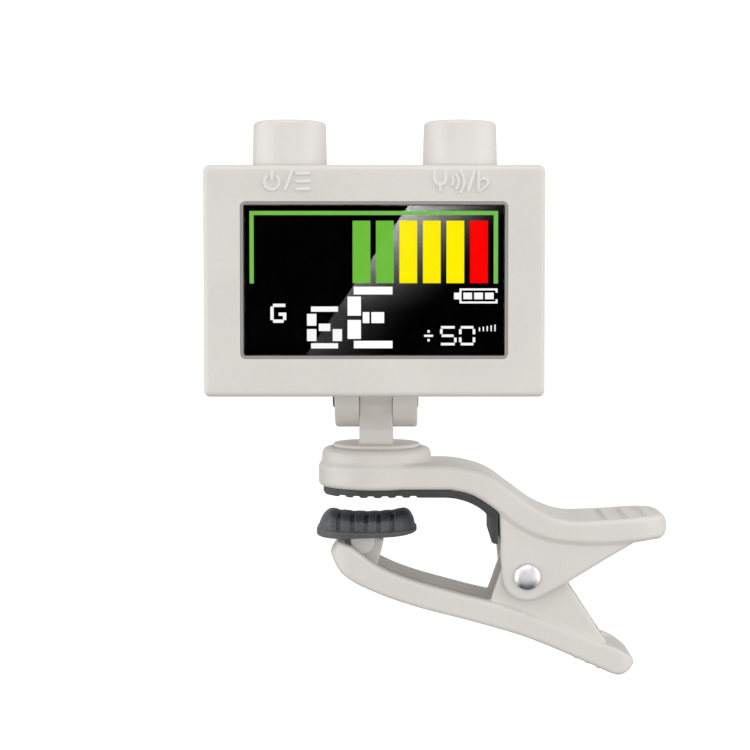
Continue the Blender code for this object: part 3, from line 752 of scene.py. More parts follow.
def head_block(name):
    half = HEAD_WIDTH / 2
    shell = block(name, (-half, HEAD_FRONT, HEAD_BOTTOM), (half, HEAD_BACK, HEAD_TOP))
    return bevel(shell, HEAD_EDGE, 5)


def screw_places():
    x, rise = SCREW_PLACE
    return [(side * x, HEAD_MIDDLE + level * rise) for side in (-1, 1) for level in (-1, 1)]


def window_outline(inset, radius):
    across, up = (half - inset for half in WINDOW_HALF)
    low = (-across, SCREEN_MIDDLE - up)
    return rounded_rectangle(low, (across, SCREEN_MIDDLE + up), radius)


def front_case():
    half = HEAD_WIDTH / 2
    inner = HEAD_FRONT + FRONT_WALL
    rim = HEAD_BACK - COVER_THICKNESS - SEAM
    case = head_block("case_front_shell")
    cut(case, block("behind_seam", (-30, rim, 0), (30, 5, 60)))
    cavity_low = (WALL - half, inner, HEAD_BOTTOM + WALL)
    cut(case, block("case_hollow", cavity_low, (half - WALL, 0, HEAD_TOP - WALL)))
    # A tongue inside the seam closes it, except where the battery door slides past
    rings = []
    for inset in (0.7, 1.25):
        low = (inset - half, HEAD_BOTTOM + inset)
        rings.append(rounded_rectangle(low, (half - inset, HEAD_TOP - inset), 0.2))
    tongue = slab("seam_tongue", rings, rim - 0.2, rim + SEAM - 0.04, "XZ")
    cut(tongue, block("door_gap", (-13.2, -8, 40), (13.2, 0, 60)))
    applied(tongue)
    join(case, tongue)
    cut(case, slab("window", [window_outline(0, 0.8)], -20, -16, "XZ"))
    for side in (-1, 1):
        x = side * BUTTON_X
        hole = BUTTON_RADIUS + BUTTON_CLEARANCE
        cut(case, rod("button_hole", (x, BUTTON_Y, 44), (x, BUTTON_Y, 50), hole, sides=72))
    for x, z in screw_places():
        join(case, rod("boss", (x, inner - 0.5, z), (x, rim - 0.2, z), 1.6, sides=24))
        cut(case, rod("pilot", (x, -12, z), (x, 0, z), 0.85, sides=16))
    bevel(case, 0.09, 2, 60)
    across = [(0, side * place) for side in (-1, 1) for place in (19.3, 22.7)]
    screen = (SCREEN_MIDDLE - 11.6, SCREEN_MIDDLE + 11.6)
    up = [(2, z) for z in (HEAD_BOTTOM + WALL, *screen, HEAD_TOP - WALL)]
    return made(case, scores=across + up)


def tilt_rod(name, left, right, radius, sides=32):
    """A bar along the axis that the head tilts on."""
    return rod(name, (left, 0, TILT_Z), (right, 0, TILT_Z), radius, sides=sides)


def rear_cover():
    inner = HEAD_BACK - COVER_THICKNESS
    cover = head_block("case_rear_cover")
    cut(cover, block("before_seam", (-30, -30, 0), (30, inner, 60)))
    ear_outline = [
        (inner + 0.3, TILT_Z + EAR_RADIUS), *arc((0, TILT_Z), EAR_RADIUS, 90, -155, 38),
        (inner + 0.3, TILT_Z),
    ]
    for side in (-1, 1):
        near, far = sorted((side * (EAR_INSIDE - 1.0), side * EAR_OUTSIDE))
        ear = bevel(slab("ear", [ear_outline], near, far, "YZ"), 0.4, 3)
        cut(ear, block("fork_gap", (-EAR_INSIDE, -9, 5), (EAR_INSIDE, 9, 25)))
        applied(ear)
        join(cover, ear)
    cut(cover, tilt_rod("washer_recess", -2.78, 2.78, 3.6, 48))
    cut(cover, tilt_rod("hinge_hole", -9, 9, 1.7))
    cut(cover, tilt_rod("screw_seat", -9, -5.4, 2.7))
    cut(cover, slab("nut_seat", [circle((0, TILT_Z), 2.75, 6)], 4.6, 9, "YZ"))
    cut(cover, block("door_way", (-11.95, -6, 22), (11.95, -3, 50)))
    cut(cover, block("door_groove", (-12.95, -6, 22), (12.95, -4.6, 50)))
    for x, z in screw_places():
        cut(cover, rod("screw_way", (x, -6, z), (x, -3, z), 0.9, sides=24))
        cut(cover, rod("countersink", (x, -4.95, z), (x, -3.9, z), 0.85, 1.75, sides=24))
    bevel(cover, 0.08, 2, 60)
    across = [(0, x) for x in (-19.0, -7.0, 7.0, 19.0)]
    up = [(2, z) for z in (HEAD_MIDDLE - 11.5, HEAD_MIDDLE - 10.7, HEAD_MIDDLE + 11.5)]
    return made(cover, scores=across + up)


def battery_door():
    top = HEAD_TOP - 0.5
    door = block("battery_hatch_cover", (-11.7, -4.9, DOOR_FOOT), (11.7, -4.05, top))
    join(door, block("door_tongue", (-12.7, -5.15, DOOR_FOOT), (12.7, -4.75, top)))
    thumb = slab("thumb_hollow", [arc((0, THUMB_Z), 5.2, 0, 350, 35)], THUMB_FLOOR, -3, "XZ")
    cut(door, thumb)
    for step in range(5):
        z = 23.6 + 1.15 * step
        half = math.sqrt(4.6**2 - (z - THUMB_Z) ** 2)
        ends = ((side * half, THUMB_FLOOR, z) for side in (-1, 1))
        join(door, rod("door_ridge", *ends, 0.3, sides=12))
    bevel(door, 0.08, 2, 50)
    return made(door)


def button(name, side):
    x = side * BUTTON_X
    top_radius = BUTTON_RADIUS - 0.16
    edge = 0.62
    profile = [
        (0, BUTTON_TOP), (3.6, BUTTON_TOP - 0.03),
        *arc((top_radius - edge, BUTTON_TOP - edge - 0.05), edge, 90, 0, 8),
        (BUTTON_RADIUS, HEAD_TOP), (BUTTON_RADIUS, BUTTON_FOOT), (0, BUTTON_FOOT),
    ]
    cap = turned(name, profile, Matrix.Translation((x, BUTTON_Y, 0)), 96)
    tab_low = (x - 6.4, BUTTON_Y - 2, BUTTON_FOOT)
    join(cap, block("button_tab", tab_low, (x + 6.4, BUTTON_Y + 2, BUTTON_FOOT + 0.9)))
    hollow_top = BUTTON_TOP - 1.3
    cut(cap, rod("button_hollow", (x, BUTTON_Y, 40), (x, BUTTON_Y, hollow_top), 4.3))
    foot = (x, PLUNGER_Y, PLUNGER_FOOT)
    join(cap, rod("plunger", foot, (x, PLUNGER_Y, hollow_top + 0.4), 1.0, sides=24))
    return made(cap)


def bezel_ring():
    outer, inner = window_outline(0.03, 0.8), window_outline(BEZEL_WIDTH, 0.3)
    ring = slab("screen_bezel_ring", [outer, inner], -17.93, -16.9, "XZ")
    bevel(ring, 0.2, 3)
    return made(ring)


def lens_plate():
    across, up = (half - BEZEL_WIDTH - 0.03 for half in WINDOW_HALF)
    low = (-across, -17.72, SCREEN_MIDDLE - up)
    lens = block("screen_lens_plate", low, (across, -16.95, SCREEN_MIDDLE + up))
    return made(bevel(lens, 0.06, 2))


def hinge_screw():
    screw = tilt_rod("hinge_screw_body", -5.9, 5.9, 1.45)
    profile = [(0, 6.6), (1.5, 6.55), *arc((1.95, 6.1), 0.45, 80, 0, 5), (2.4, 5.55), (0, 5.55)]
    facing = Matrix.Translation((0, 0, TILT_Z)) @ Matrix.Rotation(math.radians(-90), 4, "Y")
    join(screw, turned("hinge_head", profile, facing, 48))
    cut(screw, block("hinge_slot", (-8, -0.3, TILT_Z - 1.8), (-6.2, 0.3, TILT_Z + 1.8)))
    return made(screw)


# Raised symbols above the screen: power, slash and menu; fork, waves, slash and flat sign
SYMBOL_LINE = 0.44
SYMBOL_FACES = (-18.24, -17.9)


def symbols(name, outlines, *strokes):
    front, back = SYMBOL_FACES
    made_of = slab(name, outlines, front, back, "XZ")
    for stroke in strokes:
        join(made_of, slab("stroke", [stroke], front, back, "XZ"))
    bevel(made_of, 0.07, 2, 60)
    return made(made_of)


def power_symbols():
    line = SYMBOL_LINE
    ring = ribbon(arc((-14.3, 45.55), 1.05, 125, 415, 26), line)
    bar = ribbon([(-14.3, 45.7), (-14.3, 47.1)], line)
    slash = ribbon([(-12.5, 44.3), (-11.45, 47.1)], line)
    menu = [ribbon([(-11.0, z), (-8.85, z)], line) for z in (44.55, 45.65, 46.75)]
    return symbols("power_symbols", [ring, bar, slash, *menu])


def pitch_symbols():
    line = SYMBOL_LINE
    prongs = [(8.45, 47.1), (8.45, 46.1), *arc((9.25, 46.0), 0.8, 190, 350, 10)[1:-1]]
    prongs += [(10.05, 46.1), (10.05, 47.1)]
    fork_stem = ribbon([(9.25, 44.15), (9.25, 45.15)], line)
    waves = [ribbon(arc((10.2, 45.6), radius, -42, 42, 10), 0.36) for radius in (0.9, 1.65, 2.4)]
    slash = ribbon([(13.15, 44.2), (14.1, 47.1)], line)
    flat_stem = ribbon([(14.65, 44.2), (14.65, 47.1)], 0.4)
    belly = [(14.72, 45.75), (15.3, 46.05), (15.95, 45.6), (15.6, 44.85), (14.72, 44.25)]
    bowl = ribbon(smooth(belly, 4), 0.36)
    apart = [ribbon(prongs, line), *waves, slash, flat_stem]
    return symbols("pitch_symbols", apart, fork_stem, bowl)


# The display, a little in front of its panel
GLOW_FACES = (-16.62, -16.52)


def lit(name, material, rectangles):
    """Lit parts of the display, as (left, right, low, high)."""
    shape = bmesh.new()
    for left, right, low, high in rectangles:
        outline = [(left, low), (right, low), (right, high), (left, high)]
        front, back = (
            [shape.verts.new((x * MM, y * MM, z * MM)) for x, z in outline] for y in GLOW_FACES
        )
        shape.faces.new(front)
        shape.faces.new(back[::-1])
        for i in range(len(outline)):
            j = (i + 1) % len(outline)
            shape.faces.new((front[j], front[i], back[i], back[j]))
    bmesh.ops.recalc_face_normals(shape, faces=shape.faces)
    mesh = from_bmesh(shape, name)
    return finished(new_object(name, mesh), "head", material, "display_glass")


def display():
    bar_low, bar_high, bar_width = 31.4, 40.19, 2.5
    bar = [(left, left + bar_width, bar_low, bar_high) for left in (-3.05, 0.24, 3.54, 6.86, 10.18)]
    green = (0.145, 0.479, 0.042)
    lit("display_green_bars", glowing("lit_green", green, 1.08), bar[:2])
    bright_green = (0.172, 0.485, 0.078)
    rail = [
        (-17.58, 17.45, 40.98, 41.56), (-17.58, -16.99, 31.35, 40.98), (16.83, 17.45, 31.35, 40.98),
    ]
    lit("display_green_frame", glowing("lit_frame", bright_green, 1.08), rail)
    lit("display_yellow_bars", glowing("lit_yellow", (1.0, 0.83, 0.0), 1.05), bar[2:])
    red_bar = [(13.48, 16.02, bar_low, bar_high)]
    lit("display_red_bar", glowing("lit_red", (1.0, 0.0, 0.0), 1.03), red_bar)
    note = [
        (-2.89, 2.57, 29.81, 30.9), (-3.77, -1.89, 26.82, 29.51), (-3.77, -1.89, 23.54, 26.21),
        (-1.63, -0.7, 25.77, 27.32), (-0.41, 1.39, 25.77, 27.32), (-2.89, 2.57, 22.21, 23.26),
    ]
    string_number = [
        (-8.93, -5.12, 27.37, 28.11), (-9.5, -8.17, 25.4, 27.07), (-7.83, -6.21, 24.64, 25.69),
        (-9.5, -8.17, 23.23, 24.92), (-5.87, -4.56, 23.23, 24.92), (-8.93, -5.12, 22.19, 22.92),
    ]
    line = 0.46
    mode = [
        (-14.3, -12.55, 28.5 - line, 28.5), (-14.66, -14.66 + line, 26.2, 28.1),
        (-14.3, -12.8, 25.81, 25.81 + line), (-12.42 - line, -12.42, 26.2, 27.25),
        (-13.5, -12.42, 27.25 - line, 27.25),
    ]
    battery = [
        (12.02, 16.9, 30.38, 30.66), (12.02, 16.9, 28.54, 28.82), (12.02, 12.3, 28.82, 30.38),
        (17.11, 17.39, 28.82, 29.14), (17.11, 17.39, 30.06, 30.38), (16.9, 17.39, 30.38, 30.66),
        (16.9, 17.39, 28.54, 28.82), (11.25, 12.02, 29.12, 30.06), (12.57, 13.78, 29.13, 30.07),
        (14.09, 15.33, 29.13, 30.07), (15.63, 16.84, 29.13, 30.07),
    ]
    thin = 0.36
    sign = [(7.02, 8.29, 23.82, 24.12), (7.5, 7.82, 24.42, 24.78), (7.5, 7.82, 23.17, 23.52)]
    five = [
        (9.4, 11.35, 25.35 - thin, 25.35), (9.28, 9.28 + thin, 24.25, 24.92),
        (9.5, 11.2, 23.8, 23.8 + thin), (11.62 - thin, 11.62, 23.05, 23.72),
        (9.4, 11.35, 22.62, 22.62 + thin),
    ]
    nought = [
        (12.2, 14.0, 25.35 - thin, 25.35), (11.96, 11.96 + thin, 24.2, 24.92),
        (14.25 - thin, 14.25, 24.2, 24.92), (11.96, 11.96 + thin, 23.05, 23.75),
        (14.25 - thin, 14.25, 23.05, 23.75), (12.2, 14.0, 22.62, 22.62 + thin),
    ]
    ticks = [(14.75 + 0.55 * i, 14.93 + 0.55 * i, 24.62, 25.15 + 0.1 * i) for i in range(5)]
    white = (1.0, 1.0, 1.0)
    lit("display_note", glowing("lit_white", white, 1.06), note)
    small = string_number + mode + battery + sign + five + nought + ticks
    lit("display_small_marks", glowing("lit_small_white", white, 0.98), small)


# The stem, the clip and its rubber -------------------------------------------


def stem():
    space = Space((-6.7, -6.7, 2.7), (6.7, 6.7, 18.9), 0.14)
    half = STEM_HALF_WIDTH
    across = np.abs(space.x)
    barrel = meet(space.axle(TILT_Z, BARREL_RADIUS), across - half, 0.15)
    # The neck slopes back under the barrel so that the head can tilt forward
    crest, height = NECK_CREST
    depth = STEM_HALF_DEPTH
    outline = [
        (-depth, 6.9), (depth, 6.9), (depth, NECK_SHOULDER), (crest, height), (-crest, height),
        (-depth, NECK_SHOULDER),
    ]
    neck = meet(across - half, space.end(outline), 0.2)
    post = fuse(barrel, neck, 1.2)
    post = meet(post, across - half, 0.06)
    disc = meet(space.post(DISC_RADIUS), space.between(DISC_BOTTOM, DISC_TOP), 0.26)
    post = fuse(post, disc, 0.35)
    journal = meet(space.post(JOURNAL_RADIUS), space.between(JOURNAL_FOOT, DISC_BOTTOM + 0.3))
    post = fuse(post, journal)
    post = carve(post, space.axle(TILT_Z, 1.75))
    post = carve(post, meet(space.post(0.85), space.between(0, 6.5)))
    seats = meet(space.axle(TILT_Z, 3.2), half - 0.45 - across)
    return surface("stem_post", carve(post, seats), space)


def upper_outline():
    return [
        (-10.0, UPPER_TOP[0][1]),
        *smooth(UPPER_TOP), *arc((HANDLE_END - 1.85, -4.7), 1.85, 90, -80, 14),
        *reversed(smooth(UPPER_UNDER)), (-10.0, JAW_UNDERSIDE),
    ]


def upper_plan():
    """Round nose under the swivel, straight sides, rounded handle end."""
    corner = 6.6
    width = JAW_HALF_WIDTH
    nose = JAW_NOSE_RADIUS
    blend = math.degrees(math.asin(width / nose))
    return [
        *arc((0, 0), nose, blend, 360 - blend, 60),
        *arc((HANDLE_END - corner, corner - width), corner, -90, 0, 12),
        *arc((HANDLE_END - corner, width - corner), corner, 0, 90, 12),
    ]


def cheek_outline():
    return [
        (18.1, -1.0), (18.4, -9.1), *arc(PIVOT, 3.65, 184, 300, 20), (28.05, -12.85), (33.9, -9.25),
        (37.9, -6.9), (30.0, -5.0), (24.0, -3.5),
    ]


def height_of(line, x):
    """Heights of a line of points at each x."""
    points = smooth(line, 12)
    return np.interp(x, [p[0] for p in points], [p[1] for p in points])


def upper_jaw():
    space = Space((-8.8, -8.8, -15.2), (43.9, 8.8, 7.0), 0.21)
    band = meet(space.side(upper_outline()), space.plan(upper_plan()), 0.8)
    turret = meet(space.post(8.2), space.between(2.5, TURRET_RIM), 1.05)
    jaw = fuse(band, turret, 0.5)
    jaw = carve(jaw, meet(space.post(DISC_RADIUS + 0.08), TURRET_TOP - space.z), 0.08)
    cheeks = meet(space.side(cheek_outline()), space.thick(CHEEK_HALF_WIDTH), 0.5)
    jaw = fuse(jaw, cheeks, 0.35)
    web_under = raised(UPPER_TOP[3:-1], -WEB)
    hollow_end = HANDLE_END - 2.0
    hollow = [
        (19.6, web_under[0][1]),
        *smooth(web_under), (hollow_end, -4.7), (hollow_end, -20.0), (10.0, -20.0), (10.0, -6.8),
        (19.6, -6.8),
    ]
    hollow_plan = rounded_rectangle((8.0, -CHEEK_INSIDE), (hollow_end, CHEEK_INSIDE), 4.7, 10)
    jaw = carve(jaw, meet(space.side(hollow), space.plan(hollow_plan), 0.4), 0.25)
    # The thumb rest: a shallow dish with saw-tooth steps across it
    top = height_of(UPPER_TOP, space.x)
    tooth = np.mod(space.x - 34.2, 3.0) / 3.0
    steps = 0.12 + 0.6 * tooth
    run_out = np.clip((space.x - 31.6) / 2.2, 0, 1) * np.clip((42.8 - space.x) / 0.9, 0, 1)
    dish = top - steps * run_out - space.z
    rest = rounded_rectangle((24.0, -6.95), (42.5, 6.95), 5.8, 12)
    jaw = carve(jaw, meet(dish, space.plan(rest), 0.1), 0.12)
    jaw = carve(jaw, space.post(JOURNAL_RADIUS + 0.25))
    jaw = carve(jaw, meet(space.post(4.6), space.z - LEDGE))
    jaw = carve(jaw, space.pin(PIVOT, RIVET_HOLE), 0.15)
    return surface("upper_clip_jaw", jaw, space)


def upper_liner():
    space = Space((-8.1, -8.1, -7.0), (18.0, 8.1, 1.1), 0.11)
    top = raised(UPPER_UNDER[:2], -LINER_GAP)
    notch_depth, notch_half, notch_pitch, first_notch = 0.14, 0.62, 2.08, -4.88
    grip = -0.12
    grips = [(-8.2, 0.6), (-7.95, 0.1), (-7.5, grip)]
    notch = ((-1, grip), (-0.6, notch_depth), (0.6, notch_depth), (1, grip))
    for number in range(6):
        middle = first_notch + notch_pitch * number
        grips += [(middle + share * notch_half, height) for share, height in notch]
    outline = [
        (-10.0, top[0][1]),
        top[0],
        (12.6, 0.82),
        top[1],
        (16.6, -1.25), *LINER_LEG, *reversed(smooth(LINER_UNDER)), *reversed(grips), (-10.0, 0.8),
    ]
    nose = JAW_NOSE_RADIUS - 0.7
    blend = math.degrees(math.asin(LINER_HALF_WIDTH / nose))
    plan = [
        *arc((0, 0), nose, blend, 360 - blend, 60), (20.0, -LINER_HALF_WIDTH),
        (20.0, LINER_HALF_WIDTH),
    ]
    liner = meet(space.side(outline), space.plan(plan), 0.1)
    return surface("upper_rubber_liner", liner, space)


def lower_plan():
    nose, end, width = 5.0, 3.5, ARM_HALF_WIDTH
    left, right = -7.5, 38.8
    return [
        *arc((right - end, width - end), end, 0, 90, 10),
        *arc((left + nose, width - nose), nose, 90, 180, 12),
        *arc((left + nose, nose - width), nose, 180, 270, 12),
        *arc((right - end, end - width), end, 270, 360, 10),
    ]


LOWER_CHEEK = [
    (16.75, -17.0), (16.95, -15.6), (18.95, -9.9), (19.2, -7.1), (21.0, -7.1), (24.0, -7.6),
    (28.2, -12.7), (34.05, -21.65), (33.0, -23.2), (24.0, -19.5),
]


RIDGES = (29.8, 31.5, 33.1)


def lower_jaw():
    space = Space((-7.6, -6.4, -27.0), (38.9, 6.4, -5.6), 0.2)
    outline = [*smooth(LOWER_TOP), (38.7, -25.1), *reversed(smooth(LOWER_UNDER))]
    arm = meet(space.side(outline), space.plan(lower_plan()), 0.6)
    cheeks = meet(space.side(LOWER_CHEEK), space.thick(ARM_CHEEK_OUTSIDE), 0.4)
    arm = fuse(arm, cheeks, 0.3)
    ridges = None
    for x, z in zip(RIDGES, height_of(LOWER_UNDER, RIDGES)):
        ridge = meet(space.pin((x, z + 0.28), 0.5), space.thick(5.3), 0.3)
        ridges = ridge if ridges is None else fuse(ridges, ridge)
    arm = fuse(arm, ridges, 0.2)
    floor = raised(LOWER_TOP[1:-1], -ARM_CHANNEL_DEPTH)
    channel = [(-4.6, -8.2), *smooth(floor), (33.5, -22.9), (36.0, 0.0), (-4.6, 0.0)]
    arm = carve(arm, meet(space.side(channel), space.thick(ARM_CHEEK_INSIDE), 0.3), 0.3)
    # The shallow thumb dish near the handle's end
    dish = [
        (33.0, -22.15), (35.6, -23.15), (36.8, -23.6), (38.6, -24.1), (39.5, -20.0), (33.0, -20.0),
    ]
    rest = space.plan(rounded_rectangle((34.5, -5.45), (38.0, 5.45), 1.7, 10))
    arm = carve(arm, meet(space.side(dish), rest, 0.2), 0.3)
    post = [(-4.4, -11.5), (-4.1, -7.6), *arc(PAD_PIN, 1.5, 150, 30, 14), (1.1, -7.2), (0.0, -11.7)]
    arm = fuse(arm, meet(space.side(post), space.thick(1.9), 0.3), 0.3)
    arm = carve(arm, space.pin(PIVOT, RIVET_HOLE + 0.03), 0.1)
    arm = carve(arm, space.pin(PAD_PIN, 0.67))
    return surface("lower_clip_arm", arm, space)


def pad_carrier():
    space = Space((-7.7, -5.1, -9.1), (4.8, 5.1, -4.4), 0.12)
    plate = rounded_rectangle((-7.6, -5.0), (4.7, 5.0), 3.2)
    carrier = meet(space.plan(plate), space.between(-5.4, -4.5), 0.15)
    x, z = PAD_PIN
    lug = [(x + LUG_RADIUS, -5.0), (x - LUG_RADIUS, -5.0), *arc(PAD_PIN, LUG_RADIUS, 180, 360, 24)]
    sides = np.abs(np.abs(space.y) - 3.05) - 0.85
    carrier = fuse(carrier, meet(space.side(lug), sides, 0.3), 0.2)
    carrier = carve(carrier, meet(space.pin(PAD_PIN, 0.67), space.thick(3.65)))
    return surface("pad_carrier_plate", carrier, space)


def grip_pad():
    """A rubber cradle on a thin lip: raised round ends and a ribbed, sagging middle."""
    space = Space((-9.1, -7.0, -6.6), (6.2, 7.0, -2.2), 0.11)
    ends = (PAD_MIDDLE - PAD_HALF_LENGTH, PAD_MIDDLE + PAD_HALF_LENGTH)
    width = PAD_HALF_WIDTH
    across = space.x - PAD_MIDDLE
    bow = (across / PAD_HALF_LENGTH) ** 2
    plan = space.plan(rounded_rectangle((ends[0], -width), (ends[1], width), 5.2, 14))
    underside = -6.2 + 0.035 * across + 0.25 * bow**3
    lip = meet(plan, np.maximum(underside - space.z, space.z + 5.35 - 0.2 * bow), 0.2)
    # The sides round over towards the top, and the middle stands back from the round ends
    rise = np.clip((space.z + 5.6) / 3.0, 0, 0.99)
    lean = (2.15 - 0.3 * np.clip(across / 4, -1, 1)) * (1 - np.sqrt(1 - rise**2))
    middle = np.clip((5.3 - np.abs(across)) / 1.1, 0, 1)
    sides = plan + 0.24 + lean + 0.36 * middle * middle * (3 - 2 * middle)
    stations, heights = [0, 2.2, 4.0, 4.9, 5.6, 7.5], [-3.15, -3.08, -2.9, -2.72, -2.62, -2.8]
    crest = np.interp(np.abs(across), stations, heights) - 0.02 * space.y**2
    body = meet(sides, np.maximum(space.z - crest, -5.7 - space.z), 0.3)
    pad = fuse(lip, body, 0.14)
    slots = np.full(space.x.shape, 1e9)
    for x in PAD_SLOTS:
        slots = np.minimum(slots, np.abs(space.x - x) - 0.34)
    side_slots = meet(slots, np.maximum(-0.42 - sides, -5.12 - space.z))
    top_slots = meet(slots, np.maximum(crest - 0.34 - space.z, 1.6 - np.abs(space.y)))
    pad = carve(carve(pad, side_slots, 0.1), top_slots, 0.1)
    pocket = space.plan(rounded_rectangle((-7.75, -5.15), (4.85, 5.15), 3.3))
    return surface("rubber_grip_pad", carve(pad, np.maximum(pocket, space.z + 4.4)), space)


def rivets():
    x, z = PIVOT
    place = Matrix.Translation((x, 0, z))
    head_radius, seat, crown = 1.98, 7.42, 8.3
    rise = crown - seat
    dome = []
    for step in range(13):
        angle = math.radians(90 * step / 12)
        dome.append((head_radius * math.sin(angle), seat + rise * math.cos(angle)))
    shank = [(RIVET_RADIUS, seat), (RIVET_RADIUS, -6.6), (0, -6.6)]
    front = turned("rivet_head_front", dome + shank, place @ PLANES["XZ"], 64)
    stub = [(RIVET_RADIUS, seat), (RIVET_RADIUS, 6.9), (0, 6.9)]
    half_turn = Matrix.Rotation(math.pi, 4, "Z")
    back = turned("rivet_head_back", dome + stub, place @ half_turn @ PLANES["XZ"], 64)
    return made(front), made(back)


def torsion_spring():
    """A coil round the rivet whose two legs push the handles apart."""
    coil_radius, wire_radius, half_length = 2.5, 0.4, 1.7
    middle = Vector(PIVOT)
    upper_end, lower_end = Vector((33.0, -5.95)), Vector((31.5, -21.0))
    upper_run, lower_run = upper_end - middle, lower_end - middle
    start = math.atan2(upper_run.y, upper_run.x) + math.acos(coil_radius / upper_run.length)
    finish = math.atan2(lower_run.y, lower_run.x) - math.acos(coil_radius / lower_run.length)
    finish += 4 * 2 * math.pi
    points = []
    leg_steps, steps = 10, 160
    first = None
    for step in range(steps + 1):
        part = step / steps
        angle = start + (finish - start) * part
        place = Vector(
            (
                middle.x + coil_radius * math.cos(angle),
                half_length * (2 * part - 1),
                middle.y + coil_radius * math.sin(angle),
            )
        )
        if first is None:
            first = place
            tip = Vector((upper_end.x, -half_length, upper_end.y))
            points += [tip.lerp(first, i / leg_steps) for i in range(leg_steps)]
        points.append(place)
    tip = Vector((lower_end.x, half_length, lower_end.y))
    points += [points[-1].lerp(tip, (i + 1) / leg_steps) for i in range(leg_steps)]
    curve = bpy.data.curves.new("spring_path", "CURVE")
    curve.dimensions = "3D"
    curve.bevel_depth = wire_radius
    curve.bevel_resolution = 3
    curve.use_fill_caps = True
    spline = curve.splines.new("POLY")
    spline.points.add(len(points) - 1)
    for point, place in zip(spline.points, points):
        point.co = (*place, 1.0)
    path = new_object("spring_path", curve)
    mesh = evaluated(path)
    bpy.data.objects.remove(path, do_unlink=True)
    return made(new_object("torsion_spring_coil", mesh))


# Putting it together ---------------------------------------------------------


def finished(obj, body, material, slot, *nodes):
    """Gives a piece its material and body, and hides the CAD nodes it stands for; the slot argument
    is not used.
    """
    obj.data.materials.clear()
    obj.data.materials.append(material)
    if body:
        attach(obj, body)
    if nodes:
        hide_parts(*nodes)
    return obj


def build_head():
    finished(front_case(), "head", SHELL, "shell_plastic", "front_case")
    finished(rear_cover(), "head", SHELL, "shell_plastic", "rear_cover")
    finished(battery_door(), "battery_hatch", SHELL, "shell_plastic", "battery_door")
    power = button("power_button_cap", -1)
    finished(power, "power_key", BUTTON, "shell_plastic", "power_button")
    pitch = button("pitch_button_cap", 1)
    finished(pitch, "pitch_key", BUTTON, "shell_plastic", "pitch_button")
    finished(bezel_ring(), "head", BEZEL, "bezel_plastic", "screen_bezel")
    finished(lens_plate(), "head", LENS, "clear_lens", "screen_lens")
    finished(hinge_screw(), "head", BLACK_STEEL, "blackened_steel", "hinge_screw")
    finished(power_symbols(), "head", LABEL, "shell_plastic")
    finished(pitch_symbols(), "head", LABEL, "shell_plastic")
    display()


def build_clip():
    finished(stem(), "swivel_stem", SHELL, "shell_plastic", "stem")
    finished(upper_jaw(), "clip_upper", SHELL, "shell_plastic", "upper_jaw")
    finished(upper_liner(), "clip_upper", RUBBER, "dark_rubber", "upper_liner")
    finished(lower_jaw(), "clip_lower", SHELL, "shell_plastic", "lower_jaw")
    finished(pad_carrier(), "rocking_pad", SHELL, "shell_plastic", "pad_carrier")
    finished(grip_pad(), "rocking_pad", PAD_RUBBER, "dark_rubber", "grip_pad")
    front, back = rivets()
    finished(front, "clip_upper", RIVET_STEEL, "bright_steel", "jaw_rivet")
    finished(back, "clip_upper", RIVET_STEEL, "bright_steel", "rivet_cap")
    spring = torsion_spring()
    finished(spring, None, SPRING_STEEL, "bright_steel", "torsion_spring")
    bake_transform(spring)


CARRIED = {
    BLACK: (
        "display_holder", "display_connector", "main_chip", "power_switch", "pitch_switch",
        "battery_holder",
    ),
    STEEL: (
        "coin_cell", "positive_contact", "negative_contact", "hinge_nut", "swivel_washer",
        "swivel_screw", "pad_pin", "case_screw_1", "case_screw_2", "case_screw_3", "case_screw_4",
    ),
    PANEL: ("display_panel",),
    DIFFUSER: ("backlight_plate", "left_friction_washer", "right_friction_washer"),
    BOARD: ("circuit_board",),
    BRASS: ("piezo_sensor",),
}


def dress_carried_nodes():
    for material, names in CARRIED.items():
        for name in names:
            node = NODES[name]
            if not node.material_slots:
                node.data.materials.append(material)
            for slot in node.material_slots:
                slot.material = material


# The stage, lights and camera --------------------------------------------------

BLACK_CARD = {"Specular_IOR_Level": 0.0, "Roughness": 1.0, "Base_Color": (0, 0, 0, 1)}

# The glare in the screen: its slanting left side from top to foot, and how it fades
GLARE_SIDE = ((4.7, 67.1), (-43.2, -2.4))
GLARE_RIGHT = 80
GLARE_WIDTH = 50.0
GLARE_FOOT = 17.0
GLARE_EDGE = 41.0
GLARE_LEVEL = 12.7


UNSEEN_CARD = ("camera", "diffuse", "transmission", "shadow", "volume_scatter")


def hidden_from(obj, *rays):
    for ray in rays:
        setattr(obj, "visible_" + ray, False)


def backdrop():
    """A pale floor that curves up into a wall all round."""
    floor, radius, bend = -120.0, 2000.0, 800.0
    profile = [
        (0, floor), (600, floor), *arc((radius - bend, floor + bend), bend, -90, 0, 16),
        (radius, 2600),
    ]
    cove = turned("pale_floor", profile, Matrix.Identity(4), 96)
    cove.data.transform(Matrix.Scale(MM, 4))
    cove.data.shade_smooth()
    finish = Finish("pale_backdrop", Roughness=1.0, Specular_IOR_Level=0.0, Emission_Strength=0.42)
    tone = finish.ramp(finish.noise(3, 2.0), (0.3, (0.9, 0.9, 0.9)), (0.7, (0.92, 0.92, 0.92)))
    finish.set("Base Color", tone)
    finish.shader.inputs["Emission Color"].default_value = (1, 1, 1, 1)
    cove.data.materials.append(finish.material)
    hidden_from(cove, "diffuse", "glossy", "transmission", "shadow")


